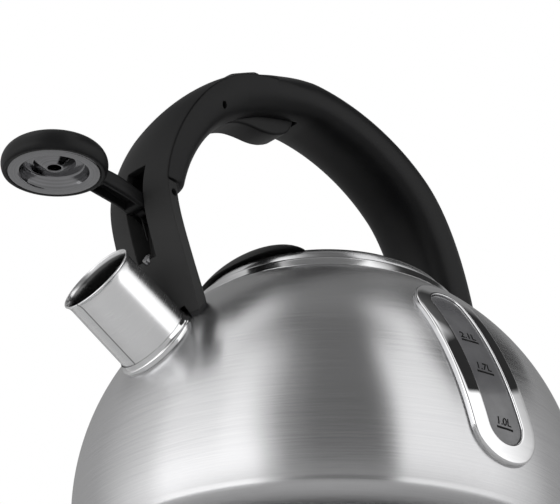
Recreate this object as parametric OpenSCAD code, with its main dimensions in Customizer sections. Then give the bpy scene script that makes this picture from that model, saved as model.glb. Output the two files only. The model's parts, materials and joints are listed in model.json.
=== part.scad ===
// Stovetop whistling kettle, about 2.3 litres.
// Frame: origin at the centre of the base, Z up, the spout points along -X.

/* [Body] */
// Outer diameter of the spherical body
body_d = 204; // [180:1:220]
// Height of the widest ring of the body above the stove
belly_z = 33; // [30:1:36]
// Thickness of the steel sheet
sheet = 1; // [0.6:0.1:1.2]
// Radius of the flat base
base_r = 91; // [86:1:93]
// Radius of the lid opening
mouth_r = 53; // [52.8:0.1:54]

/* [Spout] */
// Angle of the spout above level
spout_tilt = 30.8; // [28:0.1:36]
// Outer radius of the spout tube
spout_r = 15.2; // [14:0.1:16]
// Height of the centre of the spout mouth
spout_mouth_z = 101.6; // [98:0.1:106]
// Distance of the spout mouth in front of the body axis
spout_mouth_x = 118.8; // [116:0.1:122]
// Radius of the polished flare at the foot of the spout
flare_r = 17.2; // [16.8:0.1:18]

/* [Whistle cap] */
// Radius of the steel whistle plate
whistle_r = 18.1; // [16.5:0.1:18.6]
// Largest radius of the black cap cover
cover_r = 20.8; // [20:0.1:22]
// Angle the cap swings from open to shut
cap_swing = 57.6; // [54:0.1:60]
// Width of the arm that carries the cap
arm_w = 10.4; // [9:0.1:10.6]

/* [Handle] */
// Half width of the front strut
strut_w = 18.5; // [17:0.1:19]
// Half width of the grip
grip_w = 16.5; // [15:0.1:18]
// Half thickness of the grip at the top
grip_t = 9.8; // [9:0.1:11]
// Half thickness of the grip at the rear
grip_rear_t = 11.3; // [10:0.1:12]
// How far the front cover bulges over its edge line
cover_bulge = 2.8; // [2:0.1:3.5]

/* [Trigger] */
// Width of the trigger
trigger_w = 13; // [11:0.1:14]
// Angle the trigger drops when the cap is shut
trigger_swing = 18.3; // [15:0.1:19]

/* [Gauge] */
// Width of the gauge frame
gauge_w = 29.4; // [28:0.5:32]
// Width of the gauge window
window_w = 15.6; // [12:0.1:15]
// Elevation of the upper end of the gauge frame, seen from the sphere centre
gauge_top = 44; // [41:0.1:45]
// Elevation of the lower end of the gauge frame
gauge_bottom = -6; // [-8:0.5:-4]
// Turn of the gauge towards the spout
gauge_turn = 5.9; // [0:0.5:8]
// Lean of the gauge about its own centre
gauge_lean = 10.4; // [0:0.1:12]
// How far the ends of the gauge bow away from the spout
gauge_bow = 2.6; // [0:0.1:5]
// Share by which the gauge narrows towards its upper end
gauge_taper = 0.08; // [0:0.01:0.1]

/* [Fits] */
// Running clearance of a pin in its hole, on the radius
pin_fit = 0.06; // [0.03:0.01:0.1]
// Gap between parts that move past each other
gap = 0.4; // [0.3:0.05:0.5]
// Gap between fixed parts that only touch
seat = 0.05; // [0.02:0.01:0.1]

/* [Hidden] */
$fn = 96;
body_r = body_d / 2;
inner_r = body_r - sheet;

// ---- small helpers ----------------------------------------------------------

// Points of an arc in the r-z half plane.
function arc(c, r, a0, a1, n) =
  [for (i = [0:n]) let (a = a0 + (a1 - a0) * i / n) [c[0] + r * cos(a), c[1] + r * sin(a)]];

// Height of the body sphere at a distance from the axis.
function ball_z(r, big = body_r) = belly_z + sqrt(big * big - r * r);

function unit(v) = v / norm(v);

module ball(r) {
  translate([0, 0, belly_z]) sphere(r, $fn = 180);
}

// A cylinder between two points in space.
module rod(a, b, r) {
  d = b - a;
  translate(a)
    rotate([0, acos(d[2] / norm(d)), atan2(d[1], d[0])])
      cylinder(h = norm(d), r = r);
}

// A plate cut from an outline in the X-Z plane, centred on Y = 0.
module across(w) {
  rotate([90, 0, 0]) translate([0, 0, -w / 2]) linear_extrude(w) children();
}

// ---- body -------------------------------------------------------------------

corner_a = -12;                       // where the sphere turns into the base corner
corner_r = body_r * cos(corner_a);
corner_z = belly_z + body_r * sin(corner_a);
base_z = 4.6;                         // underside of the bottom plate
corner_rad = corner_z - base_z;

// Outline of the body wall at a distance inside its outer face.
function wall_line(inset) = concat(
  arc([0, belly_z], body_r - inset, acos(mouth_r / (body_r - inset)), corner_a, 40),
  [for (i = [1:10]) let (a = 90 * i / 10, k = corner_r - corner_rad)
    [base_r + (corner_r - inset - base_r) * cos(a), corner_z - (corner_rad - inset) * sin(a)]]
);

module spout_frame() {
  translate([-spout_mouth_x, 0, spout_mouth_z]) rotate([0, spout_tilt - 90, 0]) children();
}

module body_shell() {
  color("silver")
    difference() {
      rotate_extrude($fn = 180)
        polygon(concat(wall_line(0), reverse(wall_line(sheet))));
      spout_frame() translate([0, 0, -60]) cylinder(h = 60, r = spout_r - sheet);
      gauge_place() gauge_prism(gauge_w - 8, 80, 120);
      for (p = gauge_screw_spots) gauge_place() translate([p[0], p[1], 80]) cylinder(h = 30, r = 1.4);
    }
}

function reverse(v) = [for (i = [len(v) - 1:-1:0]) v[i]];

// Polished bead around the lid opening, with the inner ledge that carries the lid.
ring_r = 57;
ring_top = ball_z(mouth_r) + 2.15;
ledge_z = ring_top - 3.7;
module neck_ring() {
  color("gainsboro")
    rotate_extrude($fn = 180)
      polygon(concat(
        [[ring_r, ball_z(ring_r) + seat], [ring_r - 0.2, ball_z(ring_r) + 0.55]],
        arc([mouth_r + 0.6, ring_top - 1.9], 1.9, 12, 150, 10),
        [[mouth_r - 1.2, ledge_z], [47.2, ledge_z], [47.2, ledge_z - 1], [mouth_r - seat, ledge_z - 1]],
        [for (i = [0:6]) let (r = mouth_r - seat + (ring_r - mouth_r + seat) * i / 6)
          if (i < 6) [r, ball_z(r) + seat]]
      ));
}

module bottom_plate() {
  color("silver")
    rotate_extrude($fn = 180)
      polygon([[0, base_z], [base_r - seat, base_z], [base_r - seat, base_z + sheet], [0, base_z + sheet]]);
}

core_r = base_r - 5;
module core_disc() {
  color("lightgray")
    translate([0, 0, 0.6]) cylinder(h = base_z - 0.6 - seat, r = core_r, $fn = 180);
}

module base_cap() {
  color("silver")
    rotate_extrude($fn = 180)
      polygon([
        [0, 0], [core_r + 0.2, 0], [core_r + 0.65, 0.45], [core_r + 0.65, base_z - seat],
        [core_r + seat, base_z - seat], [core_r + seat, 0.6 - seat], [0, 0.6 - seat]
      ]);
}

// ---- spout ------------------------------------------------------------------

spout_foot_r = spout_r + 0.7;         // the tube widens a little towards the body
module spout_tube() {
  color("silver")
    difference() {
      spout_frame()
        rotate_extrude()
          polygon(concat(
            [[spout_foot_r - 0.9, -50], [spout_foot_r, -50], [spout_r, -3.2]],
            [[spout_r + 0.15, -1.9], [spout_r + 0.5, -1.0], [spout_r + 0.8, -0.6]],
            [[spout_r + 0.8, -0.2], [spout_r + 0.4, 0], [spout_r + 0.1, -0.2]],
            [[spout_r - 0.5, -1.4], [spout_r - 0.9, -3.2]]
          ));
      ball(body_r + seat);
    }
}

// Flare that dresses the joint between spout and body.
flare_h = 3.2;
spout_reach = 36;                    // from the mouth down to the flare's foot
module spout_flare() {
  color("gainsboro")
    difference() {
      spout_frame()
        rotate_extrude()
          polygon(concat(
            [[spout_foot_r + seat, -spout_reach - 6], [spout_foot_r + seat, flare_h - spout_reach]],
            [[spout_foot_r + 0.2, flare_h - spout_reach], [spout_foot_r + 0.5, -spout_reach + 1.6]],
            arc([flare_r - 0.8, -spout_reach + 0.6], 0.8, 70, 0, 5),
            [[flare_r, -spout_reach - 6]]
          ));
      ball(body_r + seat);
    }
}

// ---- water gauge ------------------------------------------------------------

gauge_mid = (gauge_top + gauge_bottom) / 2;
gauge_half = body_r * sin((gauge_top - gauge_bottom) / 2);

// Outline of a bar with round ends, then bowed and narrowed towards the top.
function bar_line(w, half) = let (h = half - w / 2) concat(
  [for (i = [0:12]) [w / 2, -h + 2 * h * i / 12]],
  [for (i = [1:11]) [w / 2 * cos(15 * i), h + w / 2 * sin(15 * i)]],
  [for (i = [0:12]) [-w / 2, h - 2 * h * i / 12]],
  [for (i = [1:11]) [-w / 2 * cos(15 * i), -h - w / 2 * sin(15 * i)]]
);
function bowed(p) = let (t = p[1] / gauge_half)
  [p[0] * (1 - gauge_taper * t) + gauge_bow * t * t, p[1]];
gauge_screw_spots = [for (s = [-1, 1], t = [-0.6, 0.6]) bowed([s * (gauge_w / 2 - 2.2), t * gauge_half])];

// Turns Z into the outward direction at the middle of the gauge.
module gauge_place() {
  translate([0, 0, belly_z])
    rotate([0, 0, -gauge_turn])
      rotate([90 - gauge_mid, 0, 0])
        rotate([0, 0, gauge_lean])
          children();
}

// A bar with round ends along the outward direction, between two heights.
module gauge_prism(w, lo, hi) {
  half = gauge_half - (gauge_w - w) / 2;
  translate([0, 0, lo])
    linear_extrude(hi - lo)
      polygon([for (p = bar_line(w, half)) bowed(p)]);
}

module gauge_layer(w, r0, r1) {
  intersection() {
    gauge_prism(w, 60, 120);
    difference() {
      sphere(r1, $fn = 180);
      sphere(r0, $fn = 180);
    }
  }
}

module gauge_frame() {
  color("gainsboro")
    gauge_place()
      difference() {
        union() {
          gauge_layer(gauge_w, body_r + seat, body_r + 2.0);
          gauge_layer(gauge_w - 2.4, body_r + 1.9, body_r + 2.8);
          gauge_layer(gauge_w - 8.4, inner_r - 0.6, body_r + 0.5);
        }
        gauge_prism(window_w, 60, 120);
        gauge_layer(window_w + 3.2, 60, body_r + 0.2);
        for (p = gauge_screw_spots) translate([p[0], p[1], 60]) cylinder(h = 39.7, r = 1.1);
      }
}

module gauge_glass() {
  color("gray", 0.5)
    gauge_place()
      union() {
        gauge_layer(window_w - 2 * seat, body_r - 0.4, body_r + 1.5);
        gauge_layer(window_w + 3.2 - 2 * seat, inner_r - 1.4, body_r + 0.15);
      }
}

module gauge_gasket() {
  color("dimgray")
    gauge_place()
      difference() {
        gauge_layer(gauge_w - 0.6, inner_r - 0.9, inner_r - seat);
        gauge_prism(gauge_w - 7.6, 60, 120);
        for (p = gauge_screw_spots) translate([p[0], p[1], 60]) cylinder(h = 50, r = 1.3);
      }
}

module gauge_clamp() {
  color("silver")
    gauge_place()
      difference() {
        gauge_layer(gauge_w, inner_r - 2.6, inner_r - 1.45);
        gauge_prism(window_w + 0.6, 60, 120);
        for (p = gauge_screw_spots) translate([p[0], p[1], 60]) cylinder(h = 50, r = 1.25);
      }
}

module gauge_screws() {
  color("silver")
    gauge_place()
      for (p = gauge_screw_spots) {
        z = sqrt(pow(inner_r - 2.6, 2) - p[0] * p[0] - p[1] * p[1]);
        translate([p[0], p[1], z - 2.5]) cylinder(h = 1.7, r = 2.1);
        translate([p[0], p[1], z - 0.9]) cylinder(h = 5.9, r = 1.0);
      }
}

// Level lines on the glass. Each line stands at the height its number names:
// 1.0, 1.7 and 2.1 litres.
level_heights = [37.6, 60.1, 74.2];
module gauge_marks() {
  color("black")
    for (z = level_heights) {
      intersection() {
        translate([-60, -110, z - 0.45]) cube([120, 90, 0.9]);
        gauge_place() translate([-1.4, 0, 0]) gauge_layer(8, body_r + 1.5 + seat, body_r + 1.65);
      }
    }
}

// ---- lid --------------------------------------------------------------------

lid_r = mouth_r - 1.2 - gap;           // steel band that stands in the ring
cover_edge_r = 47.6;
cover_z = ring_top + 5.9;              // seam between steel band and black cover
lid_dome = 3;                          // rise of the black cover at the middle
skirt_r = 46.8;                        // collar that reaches down into the kettle

module lid_shell() {
  color("silver")
    rotate_extrude($fn = 180)
      polygon(concat(
        [[1.75, cover_z - 1.0], [cover_edge_r - 1.0, cover_z - 1.0], [cover_edge_r - 0.4, cover_z - 0.1]],
        arc([lid_r - 4.2, cover_z - 4.3], 4.2, 84, 0, 8),
        [[lid_r, ledge_z + 0.3], [skirt_r, ledge_z + 0.3], [skirt_r, ledge_z - 10]],
        [[skirt_r - 1, ledge_z - 10], [skirt_r - 1, cover_z - 2.0], [1.75, cover_z - 2.0]]
      ));
}

// Front lift tab: a rounded ridge across the lid.
tab_x = -40;
module tab_lump(shrink) {
  translate([tab_x, 0, 118.4])
    scale([13 - shrink, 37 - shrink, 18.3 - shrink])
      sphere(1, $fn = 96);
}

module lid_cover() {
  color("dimgray")
    difference() {
      union() {
        rotate_extrude($fn = 180)
          polygon(concat(
            [[0, cover_z - 1.0 + seat], [cover_edge_r - 1.4, cover_z - 1.0 + seat]],
            [[cover_edge_r - 0.3, cover_z + 0.05], [cover_edge_r, cover_z + 0.4]],
            [for (i = [0:10]) let (r = (cover_edge_r - 0.4) * (1 - i / 10))
              [r, cover_z + 0.9 + lid_dome * (1 - pow(r / cover_edge_r, 2))]]
          ));
        intersection() {
          tab_lump(0);
          translate([-60, -40, cover_z + 0.15]) cube([60, 80, 30]);
        }
      }
      translate([0, 0, cover_z - 2]) cylinder(h = 4.2, r = 1.6);
    }
}

module lid_gasket() {
  color("dimgray")
    rotate_extrude($fn = 180)
      polygon([
        [skirt_r - 1 - seat, ledge_z - 8.5], [skirt_r - 1 - seat, ledge_z - 5.5],
        [skirt_r - 2.5, ledge_z - 5.5], [skirt_r - 2.5, ledge_z - 8.5]
      ]);
}

module lid_screw() {
  color("silver")
    union() {
      translate([0, 0, cover_z - 3.9]) cylinder(h = 1.85, r = 3.2);
      translate([0, 0, cover_z - 2.5]) cylinder(h = 4.4, r = 1.5);
    }
}

// ---- handle line ------------------------------------------------------------

// The line runs from the front foot over the top to the rear foot. In front it is
// the edge between the front cover and the grip; at the rear it is the grip's middle.
handle_arcs = [
  [[-82.4, 92.1], [-88.5, 114.0], [-99.2, 132.0], [-98.5, 147.0]],
  [[-98.5, 147.0], [-97.4, 166.0], [-82.6, 195.6], [-59.3, 207.8]],
  [[-59.3, 207.8], [-46.6, 213.6], [-27.0, 214.2], [-12.0, 213.0]],
  [[-12.0, 213.0], [8.0, 211.4], [28.4, 203.9], [43.5, 190.3]],
  [[43.5, 190.3], [56.2, 178.9], [63.8, 156.8], [67.6, 140.0]],
  [[67.6, 140.0], [70.1, 129.0], [72.1, 114.0], [73.1, 100.0]]
];
function bezier(p, t) =
  p[0] * pow(1 - t, 3) + p[1] * 3 * t * pow(1 - t, 2) + p[2] * 3 * t * t * (1 - t) + p[3] * pow(t, 3);
function bezier_way(p, t) =
  (p[1] - p[0]) * pow(1 - t, 2) + (p[2] - p[1]) * 2 * t * (1 - t) + (p[3] - p[2]) * t * t;
function arc_index(u) = max(0, min(len(handle_arcs) - 1, floor(u)));
function line_at(u) = bezier(handle_arcs[arc_index(u)], u - arc_index(u));
function way_at(u) = unit(bezier_way(handle_arcs[arc_index(u)], u - arc_index(u)));
// Outward side of the line, away from the finger gap.
function out_at(u) = let (w = way_at(u)) [-w[1], w[0]];

// Sizes of the cross section along the line.
function half_width(u) = lookup(u, [
  [0, strut_w], [1.6, strut_w], [2, grip_w + 0.4], [3, grip_w], [5, grip_w], [6, grip_w + 1]
]);
function rise(u) = lookup(u, [
  [0, cover_bulge], [1.2, cover_bulge], [1.5, cover_bulge - 0.4], [1.8, cover_bulge - 0.4],
  [2.1, cover_bulge + 0.2], [2.5, 7.4], [2.8, 10.8], [3, grip_t + 1.8], [4, grip_rear_t + 0.9]
]);
function depth(u) = lookup(u, [
  [0.95, 12], [1.04, 14.4], [1.3, 15.1], [1.6, 15.7], [2, 16.6], [2.5, 13.4], [3, grip_t], [4, grip_rear_t]
]);
function strut_depth(u) = lookup(u, [[-0.2, 13.4], [0.3, 9.9], [0.92, 9.4]]);
// How square the outer side is: 0 in front, where the cover meets its edge line
// at an angle, and 1 at the rear, where the section is a smooth oval.
function roundness(u) = lookup(u, [[2, 0], [2.9, 1]]);

notch_u = 0.955;                       // lower end of the grip
cover_end_u = 2.45;                    // upper end of the front cover

side_steps = 13;
function outer_side(u, up) = [for (i = [0:side_steps])
  let (c = cos(180 * i / side_steps), k = roundness(u), a = 2 + 0.3 * k, b = 1 + (1 / a - 1) * k)
    [half_width(u) * c, up * pow(max(0, 1 - pow(abs(c), a)), b)]];
function inner_side(u, down) = [for (i = [1:side_steps - 1])
  let (c = -cos(180 * i / side_steps))
    [half_width(u) * c, -down * pow(1 - pow(abs(c), 2.8), 1 / 2.8)]];

// One cross section in space.
function section(u, up, down) = let (p = line_at(u), n = out_at(u)) [
  for (q = concat(outer_side(u, up), inner_side(u, down))) [p[0] + n[0] * q[1], q[0], p[1] + n[1] * q[1]]
];

// A solid through a list of sections.
module skin(rings) {
  n = len(rings[0]);
  m = len(rings);
  polyhedron(
    points = [for (r = rings) each r],
    faces = concat(
      [[for (i = [0:n - 1]) i]],
      [for (j = [0:m - 2], i = [0:n - 1]) each let (a = j * n + i, b = j * n + (i + 1) % n)
        [[a, a + n, b + n], [a, b + n, b]]],
      [[for (i = [n - 1:-1:0]) (m - 1) * n + i]]
    )
  );
}

foot_u = -0.16;
// Front strut with the cover that runs up over the grip.
strut_stations = concat(
  [for (i = [0:11]) foot_u + (notch_u - 0.02 - foot_u) * i / 11],
  [for (i = [0:22]) notch_u - 0.01 + (cover_end_u - notch_u + 0.01) * i / 22]
);
module strut_blank() {
  skin([for (u = strut_stations)
    section(u, rise(u), u < notch_u - 0.015 ? strut_depth(u) : 0.02)]);
}

// Grip: the inner half under the cover, then the full oval.
grip_stations = concat(
  [notch_u + 0.01, notch_u + 0.07],
  [for (i = [1:17]) notch_u + 0.07 + (cover_end_u - notch_u - 0.07) * i / 17],
  [for (i = [0:32]) cover_end_u + 0.012 + (6.1 - cover_end_u) * i / 32]
);
module grip_blank() {
  skin([for (i = [0:len(grip_stations) - 1])
    let (u = grip_stations[i])
      section(u, u > cover_end_u + 0.005 ? rise(u) : -seat, depth(u) - (i == 0 ? 4 : 0))]);
}

// ---- pivots -----------------------------------------------------------------

arm_pivot = [-95.3, 139.7];
trigger_pivot = [-68.5, 189.7];
cap_centre = [-140, 139.8];
pin_r = 1.5;
tail_r = 3.6;                          // from arm pivot to the rod's lower eye
rod_low = arm_pivot + tail_r * [cos(-50), sin(-50)];
rod_high = [-78, 182.2];

module at(p, y = 0) {
  translate([p[0], y, p[1]]) children();
}

// A pin hole or pin along Y.
module cross_pin(p, r, w) {
  at(p) rotate([90, 0, 0]) cylinder(h = w, r = r, center = true);
}

// Pocket for the cap arm, open to the front.
slot_w = arm_w + 2 * gap;
slot_back = 8.6;
module slot_pocket() {
  across(slot_w)
    polygon([
      [-120, 116.6], [line_at(0.42)[0] - 3, 116.6], [-87.2, 122], [-88.8, 130],
      [-89.3, 141], [-89.0, 155.2], [-120, 155.2]
    ]);
}

// Room in the cover for the trigger's eye when the cap is closed.
module eye_room() {
  cross_pin([-80.1, 186.4], 2.75, trigger_w + 2 * gap);
}

// Channel for the push rod, from the trigger pocket down to the slot.
module rod_channel() {
  across(5)
    polygon([
      [-95.2, 134], [-88.4, 134], [-87.2, 146], [-75.8, 181], [-75.8, 187], [-84.0, 187], [-92.6, 146.8]
    ]);
}

// Pocket for the trigger in the underside of the grip.
module trigger_pocket() {
  across(trigger_w + 2 * gap)
    polygon([
      [-85.6, 179.5], [-85.4, 187], [-80.6, 192.6], [-70, 199.6], [-56, 205.2], [-40, 207.6],
      [-30, 208.0], [-20.4, 208.2], [-20.0, 190], [-60, 165], [-76, 170], [-80, 178]
    ]);
}

strut_screw = [-93.2, 117.6];
strut_screw_way = [0.93, -0.37];
// Screw seat at the bottom of the slot and the room for the bracket behind it.
module strut_fixing_room() {
  a = strut_screw;
  b = a + strut_screw_way * 14;
  rod([a[0] - 8, 0, a[1] + 3.2], [a[0] + 0.9, 0, a[1] - 0.36], 2.3);
  rod([a[0], 0, a[1]], [b[0], 0, b[1]], 1.75);
  across(12.6) polygon(bracket_outline(0.25));
}

// Upright tab of the front bracket, seen from the side.
function bracket_outline(grow) = [
  [-84.4 - grow, 122.4 + grow], [-82.0 + grow, 123.2 + grow],
  [-70 + 2 * grow, 96], [-77 - grow, 96]
];

module spout_room(extra) {
  spout_frame() {
    translate([0, 0, -70]) cylinder(h = 100, r = spout_r + extra);
    translate([0, 0, -70]) cylinder(h = 70 - spout_reach + flare_h + 0.8, r = flare_r + extra);
  }
}

pad_t = 1.5;
module front_strut() {
  color("dimgray")
    difference() {
      strut_blank();
      slot_pocket();
      cross_pin(arm_pivot, pin_r, 60);
      rod_channel();
      eye_room();
      strut_fixing_room();
      ball(body_r + pad_t + seat);
      spout_room(gap);
    }
}

module handle_grip() {
  color("dimgray")
    difference() {
      grip_blank();
      trigger_pocket();
      rod_channel();
      slot_pocket();
      cross_pin(trigger_pivot, pin_r, 60);
      rear_fixing_room();
      ball(body_r + pad_t + seat);
    }
}

// Soft thumb rest on top of the grip.
pad_half = 7.2;
function outer_at(u, c) = let (k = roundness(u), a = 2 + 0.3 * k, b = 1 + (1 / a - 1) * k)
  rise(u) * pow(max(0, 1 - pow(abs(c), a)), b);
function pad_section(u, h) = let (p = line_at(u), n = out_at(u), w = half_width(u)) [
  for (q = concat(
      [for (i = [0:8]) let (c = cos(180 * i / 8))
        [pad_half * c, outer_at(u, pad_half * c / w) + 0.15 + h * pow(1 - pow(abs(c), 4), 0.5)]],
      [for (i = [0:8]) let (c = -cos(180 * i / 8))
        [pad_half * c, outer_at(u, pad_half * c / w) + 0.1]]))
    [p[0] + n[0] * q[1], q[0], p[1] + n[1] * q[1]]
];
module thumb_pad() {
  color("darkslategray")
    skin([for (i = [0:8]) let (t = i / 8)
      pad_section(2.08 + 0.34 * t, 0.3 + min(1.9, 7.5 * t, 22 * (1 - t)))]);
}

// Heat-proof pads between the handle feet and the body.
module front_pad() {
  color("dimgray")
    difference() {
      intersection() {
        skin([for (i = [0:4]) let (u = foot_u + 0.5 * i / 4)
          grown_section(u, rise(u), strut_depth(u), -0.3)]);
        difference() {
          ball(body_r + pad_t);
          ball(body_r + seat);
        }
      }
      spout_room(gap);
      across(13.2) polygon(bracket_outline(0.4));
    }
}

function grown_section(u, up, down, g) = let (p = line_at(u), n = out_at(u)) [
  for (q = concat(outer_side(u, up), inner_side(u, down)))
    let (k = 1 + g / max(1, norm(q)))
      [p[0] + n[0] * q[1] * k, q[0] * k, p[1] + n[1] * q[1] * k]
];

module rear_pad() {
  color("dimgray")
    difference() {
      intersection() {
        skin([for (i = [0:4]) let (u = 5.6 + 0.5 * i / 4) grown_section(u, rise(u), depth(u), 0.3)]);
        difference() {
          ball(body_r + pad_t);
          ball(body_r + seat);
        }
      }
      across(13.2) polygon(rear_bracket_outline(0.4));
      rod([rear_screw[0] - 12, 0, rear_screw[1]], [rear_screw[0] + 3.2, 0, rear_screw[1]], 3.0);
    }
}

module front_bracket() {
  color("silver")
    difference() {
      across(12) polygon(bracket_outline(0));
      ball(body_r + seat);
      a = strut_screw;
      b = a + strut_screw_way * 16;
      rod([a[0], 0, a[1]], [b[0], 0, b[1]], 1.5);
    }
}

// Upright tab of the rear bracket inside the rear foot.
function rear_bracket_outline(grow) = [
  [70.2 - grow, 126 + grow], [73.0 + grow, 126 + grow], [75.2 + grow, 98], [72.2 - grow, 98]
];
rear_screw = [60.5, 118];
module rear_fixing_room() {
  across(12.6) polygon(rear_bracket_outline(0.25));
  rod([rear_screw[0] - 12, 0, rear_screw[1]], [rear_screw[0] + 3.2, 0, rear_screw[1]], 3.0);
  rod([rear_screw[0], 0, rear_screw[1]], [rear_screw[0] + 16.5, 0, rear_screw[1]], 1.75);
}

module rear_bracket() {
  color("silver")
    difference() {
      across(12) polygon(rear_bracket_outline(0));
      ball(body_r + seat);
      rod([60, 0, rear_screw[1]], [80, 0, rear_screw[1]], 1.5);
    }
}

// The two screws that hold the handle to its brackets.
module handle_screws() {
  color("silver") {
    a = strut_screw;
    w = strut_screw_way;
    rod([a[0] - w[0] * 1.2, 0, a[1] - w[1] * 1.2], [a[0] + w[0] * 0.7, 0, a[1] + w[1] * 0.7], 2.0);
    rod([a[0], 0, a[1]], [a[0] + w[0] * 13, 0, a[1] + w[1] * 13], 1.5 - 0.02);
    rod([rear_screw[0] + 1.2, 0, rear_screw[1]], [rear_screw[0] + 3.0, 0, rear_screw[1]], 2.6);
    rod([rear_screw[0] + 2, 0, rear_screw[1]], [rear_screw[0] + 15.5, 0, rear_screw[1]], 1.5 - 0.02);
  }
}

// ---- trigger and rod --------------------------------------------------------

trigger_low = [
  [-77.4, 180.0], [-73, 182.4], [-68, 184.9], [-63, 187.2], [-58.1, 189.4], [-54.3, 191.1], [-50.2, 192.2],
  [-45, 192.6], [-38, 192.5], [-33.4, 193.1], [-30.1, 194.2], [-26.6, 196.0], [-24, 198.6], [-22.4, 202.0]
];
trigger_high = [
  [-22.2, 205.6], [-30, 205.9], [-44, 204.2], [-58, 200.4], [-70, 194.6], [-75.2, 187.6], [-78, 184.6]
];

module trigger() {
  color("dimgray")
    difference() {
      union() {
        across(trigger_w) polygon(concat(trigger_low, trigger_high));
        cross_pin(rod_high, 2.4, trigger_w);
      }
      cross_pin(trigger_pivot, pin_r + pin_fit, 60);
      // fork and wide eye for the rod's upper end
      across(3.2) polygon([[-90, 172], [-74.4, 172], [-74.4, 195], [-90, 195]]);
      cross_pin(rod_high, 1.0, trigger_w - 4);
    }
}

module trigger_pin() {
  color("silver") cross_pin(trigger_pivot, pin_r - seat / 2, 27);
}

// Link between the cap's tail and the trigger. Its upper eye has play.
module push_rod() {
  color("silver")
    difference() {
      union() {
        rod([rod_low[0], 0, rod_low[1]], [rod_high[0], 0, rod_high[1]], 0.8);
        cross_pin(rod_low, 1.35, 2.2);
        cross_pin(rod_high, 1.6, 2.2);
      }
      cross_pin(rod_low, 0.75 + pin_fit, 10);
      cross_pin(rod_high, 1.0, 10);
    }
}

// ---- cap arm ----------------------------------------------------------------

// Side view of the arm: from the cap's edge to the hub.
arm_top = [[-121.5, 147.6], [-112.2, 146.6], [-100.9, 143.3]];
arm_low = [[-100.9, 137.0], [-107.3, 139.0], [-121.5, 141.4]];
module cap_arm() {
  color("dimgray")
    difference() {
      union() {
        across(arm_w) polygon(concat(arm_top, [[-95.3, 143.3], [-95.3, 136.0]], arm_low));
        cross_pin(arm_pivot, 3.8, arm_w);
        cross_pin(rod_low, 2.3, arm_w);
      }
      // hollow underside
      across(arm_w - 3.6)
        polygon([[-119, 144.6], [-112.2, 143.8], [-102.5, 141.0], [-102.5, 130], [-119, 130]]);
      cross_pin(arm_pivot, pin_r + pin_fit, 60);
      // fork for the rod's lower eye, and room for the spring coils
      at(rod_low) cube([6.4, 3.0, 4.4], center = true);
      rod_sweep();
      for (s = [-1, 1])
        translate([0, s * spring_y, 0]) cross_pin(arm_pivot, 3.1, 2.4);
      spring_notch();
      cap_frame()
        rotate_extrude()
          polygon(concat([[0, -5], [19.6, -5], [19.6, 0.3]], cover_line(seat)));
    }
  color("silver") cross_pin(rod_low, 0.75, arm_w - 3);
}

// Room through the hub for the rod's swing between open and closed.
module rod_sweep() {
  across(3.0)
    polygon([
      rod_low + [-1.3, 0.4], rod_low + [1.5, 12], rod_low + [9.9, 9.9],
      rod_low + [12, 1.7], rod_low + [0.4, -1.4]
    ]);
}

// Sector that the spring's fixed legs sweep while the arm turns.
spring_y = 3.35;
module spring_notch() {
  for (s = [-1, 1])
    translate([0, s * spring_y, 0])
      across(2.4)
        polygon(concat([arm_pivot], [for (a = [-56:-15:-146]) arm_pivot + 9 * [cos(a), sin(a)]]));
}

module arm_pin() {
  color("silver") cross_pin(arm_pivot, pin_r - seat / 2, 31);
}

// Hairpin spring: a wound coil on each side of the rod's eye, its leg held in
// the strut.
wire_r = 0.45;
spring_leg_end = [-91.0, 128];
module arm_spring() {
  leg = unit(spring_leg_end - arm_pivot);
  leg_start = arm_pivot + 2.3 * leg;
  color("silver")
    for (s = [-1, 1])
      translate([0, s * spring_y, 0]) {
        difference() {
          cross_pin(arm_pivot, 2.7, 1.9);
          cross_pin(arm_pivot, 1.8, 3);
        }
        rod([leg_start[0], 0, leg_start[1]], [spring_leg_end[0], 0, spring_leg_end[1]], wire_r);
      }
}

// ---- cap --------------------------------------------------------------------

bead_r = 7;                            // roundness of the cover's edge
bead_z = 3.7;
module cap_frame() {
  at(cap_centre) children();
}

// Outer line of the black cover, from the rim over the rounded edge to the top.
function cover_line(grow) = concat(
  arc([cover_r - bead_r, bead_z], bead_r + grow, -29, 84, 18),
  [[9, 11.3 + grow], [4, 11.8 + grow], [0, 12 + grow]]
);

module cap_cover() {
  color("dimgray")
    cap_frame()
      difference() {
        rotate_extrude()
          polygon(concat(
            [[0, 8.2], [whistle_r - 3.0, 8.2], [whistle_r + seat, 5.6], [whistle_r + seat, 0.1]],
            [[19.55, 0.1]],
            cover_line(0)
          ));
        for (a = [60, 180, 300]) rotate([0, 0, a]) translate([6, 0, 4]) cylinder(h = 12, r = 1.1);
      }
}

// Stepped steel plate with the whistle's lower hole.
module whistle_plate() {
  color("gainsboro")
    cap_frame()
      rotate_extrude()
        polygon([
          [whistle_r, 0.35], [whistle_r - 0.35, 0], [14.1, 0], [13.5, 0.35], [12.0, 4.3], [11.5, 4.65],
          [8.2, 4.65], [3.4, 2.2], [2.65, 2.3], [2.65, 2.85], [3.3, 2.85], [8.0, 5.25],
          [11.8, 5.25], [12.5, 4.9], [14.1, 0.6], [17.5, 0.6], [17.5, 5.0], [whistle_r, 5.0]
        ]);
}

// Second disc, which closes the whistle's chamber.
module whistle_disc() {
  color("silver")
    cap_frame()
      rotate_extrude()
        polygon([[2.4, 6.4], [2.4, 7.0], [11.4, 7.0], [11.4, 5.3], [10.8, 5.3], [10.8, 6.4]]);
}

// ---- show -------------------------------------------------------------------

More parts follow.
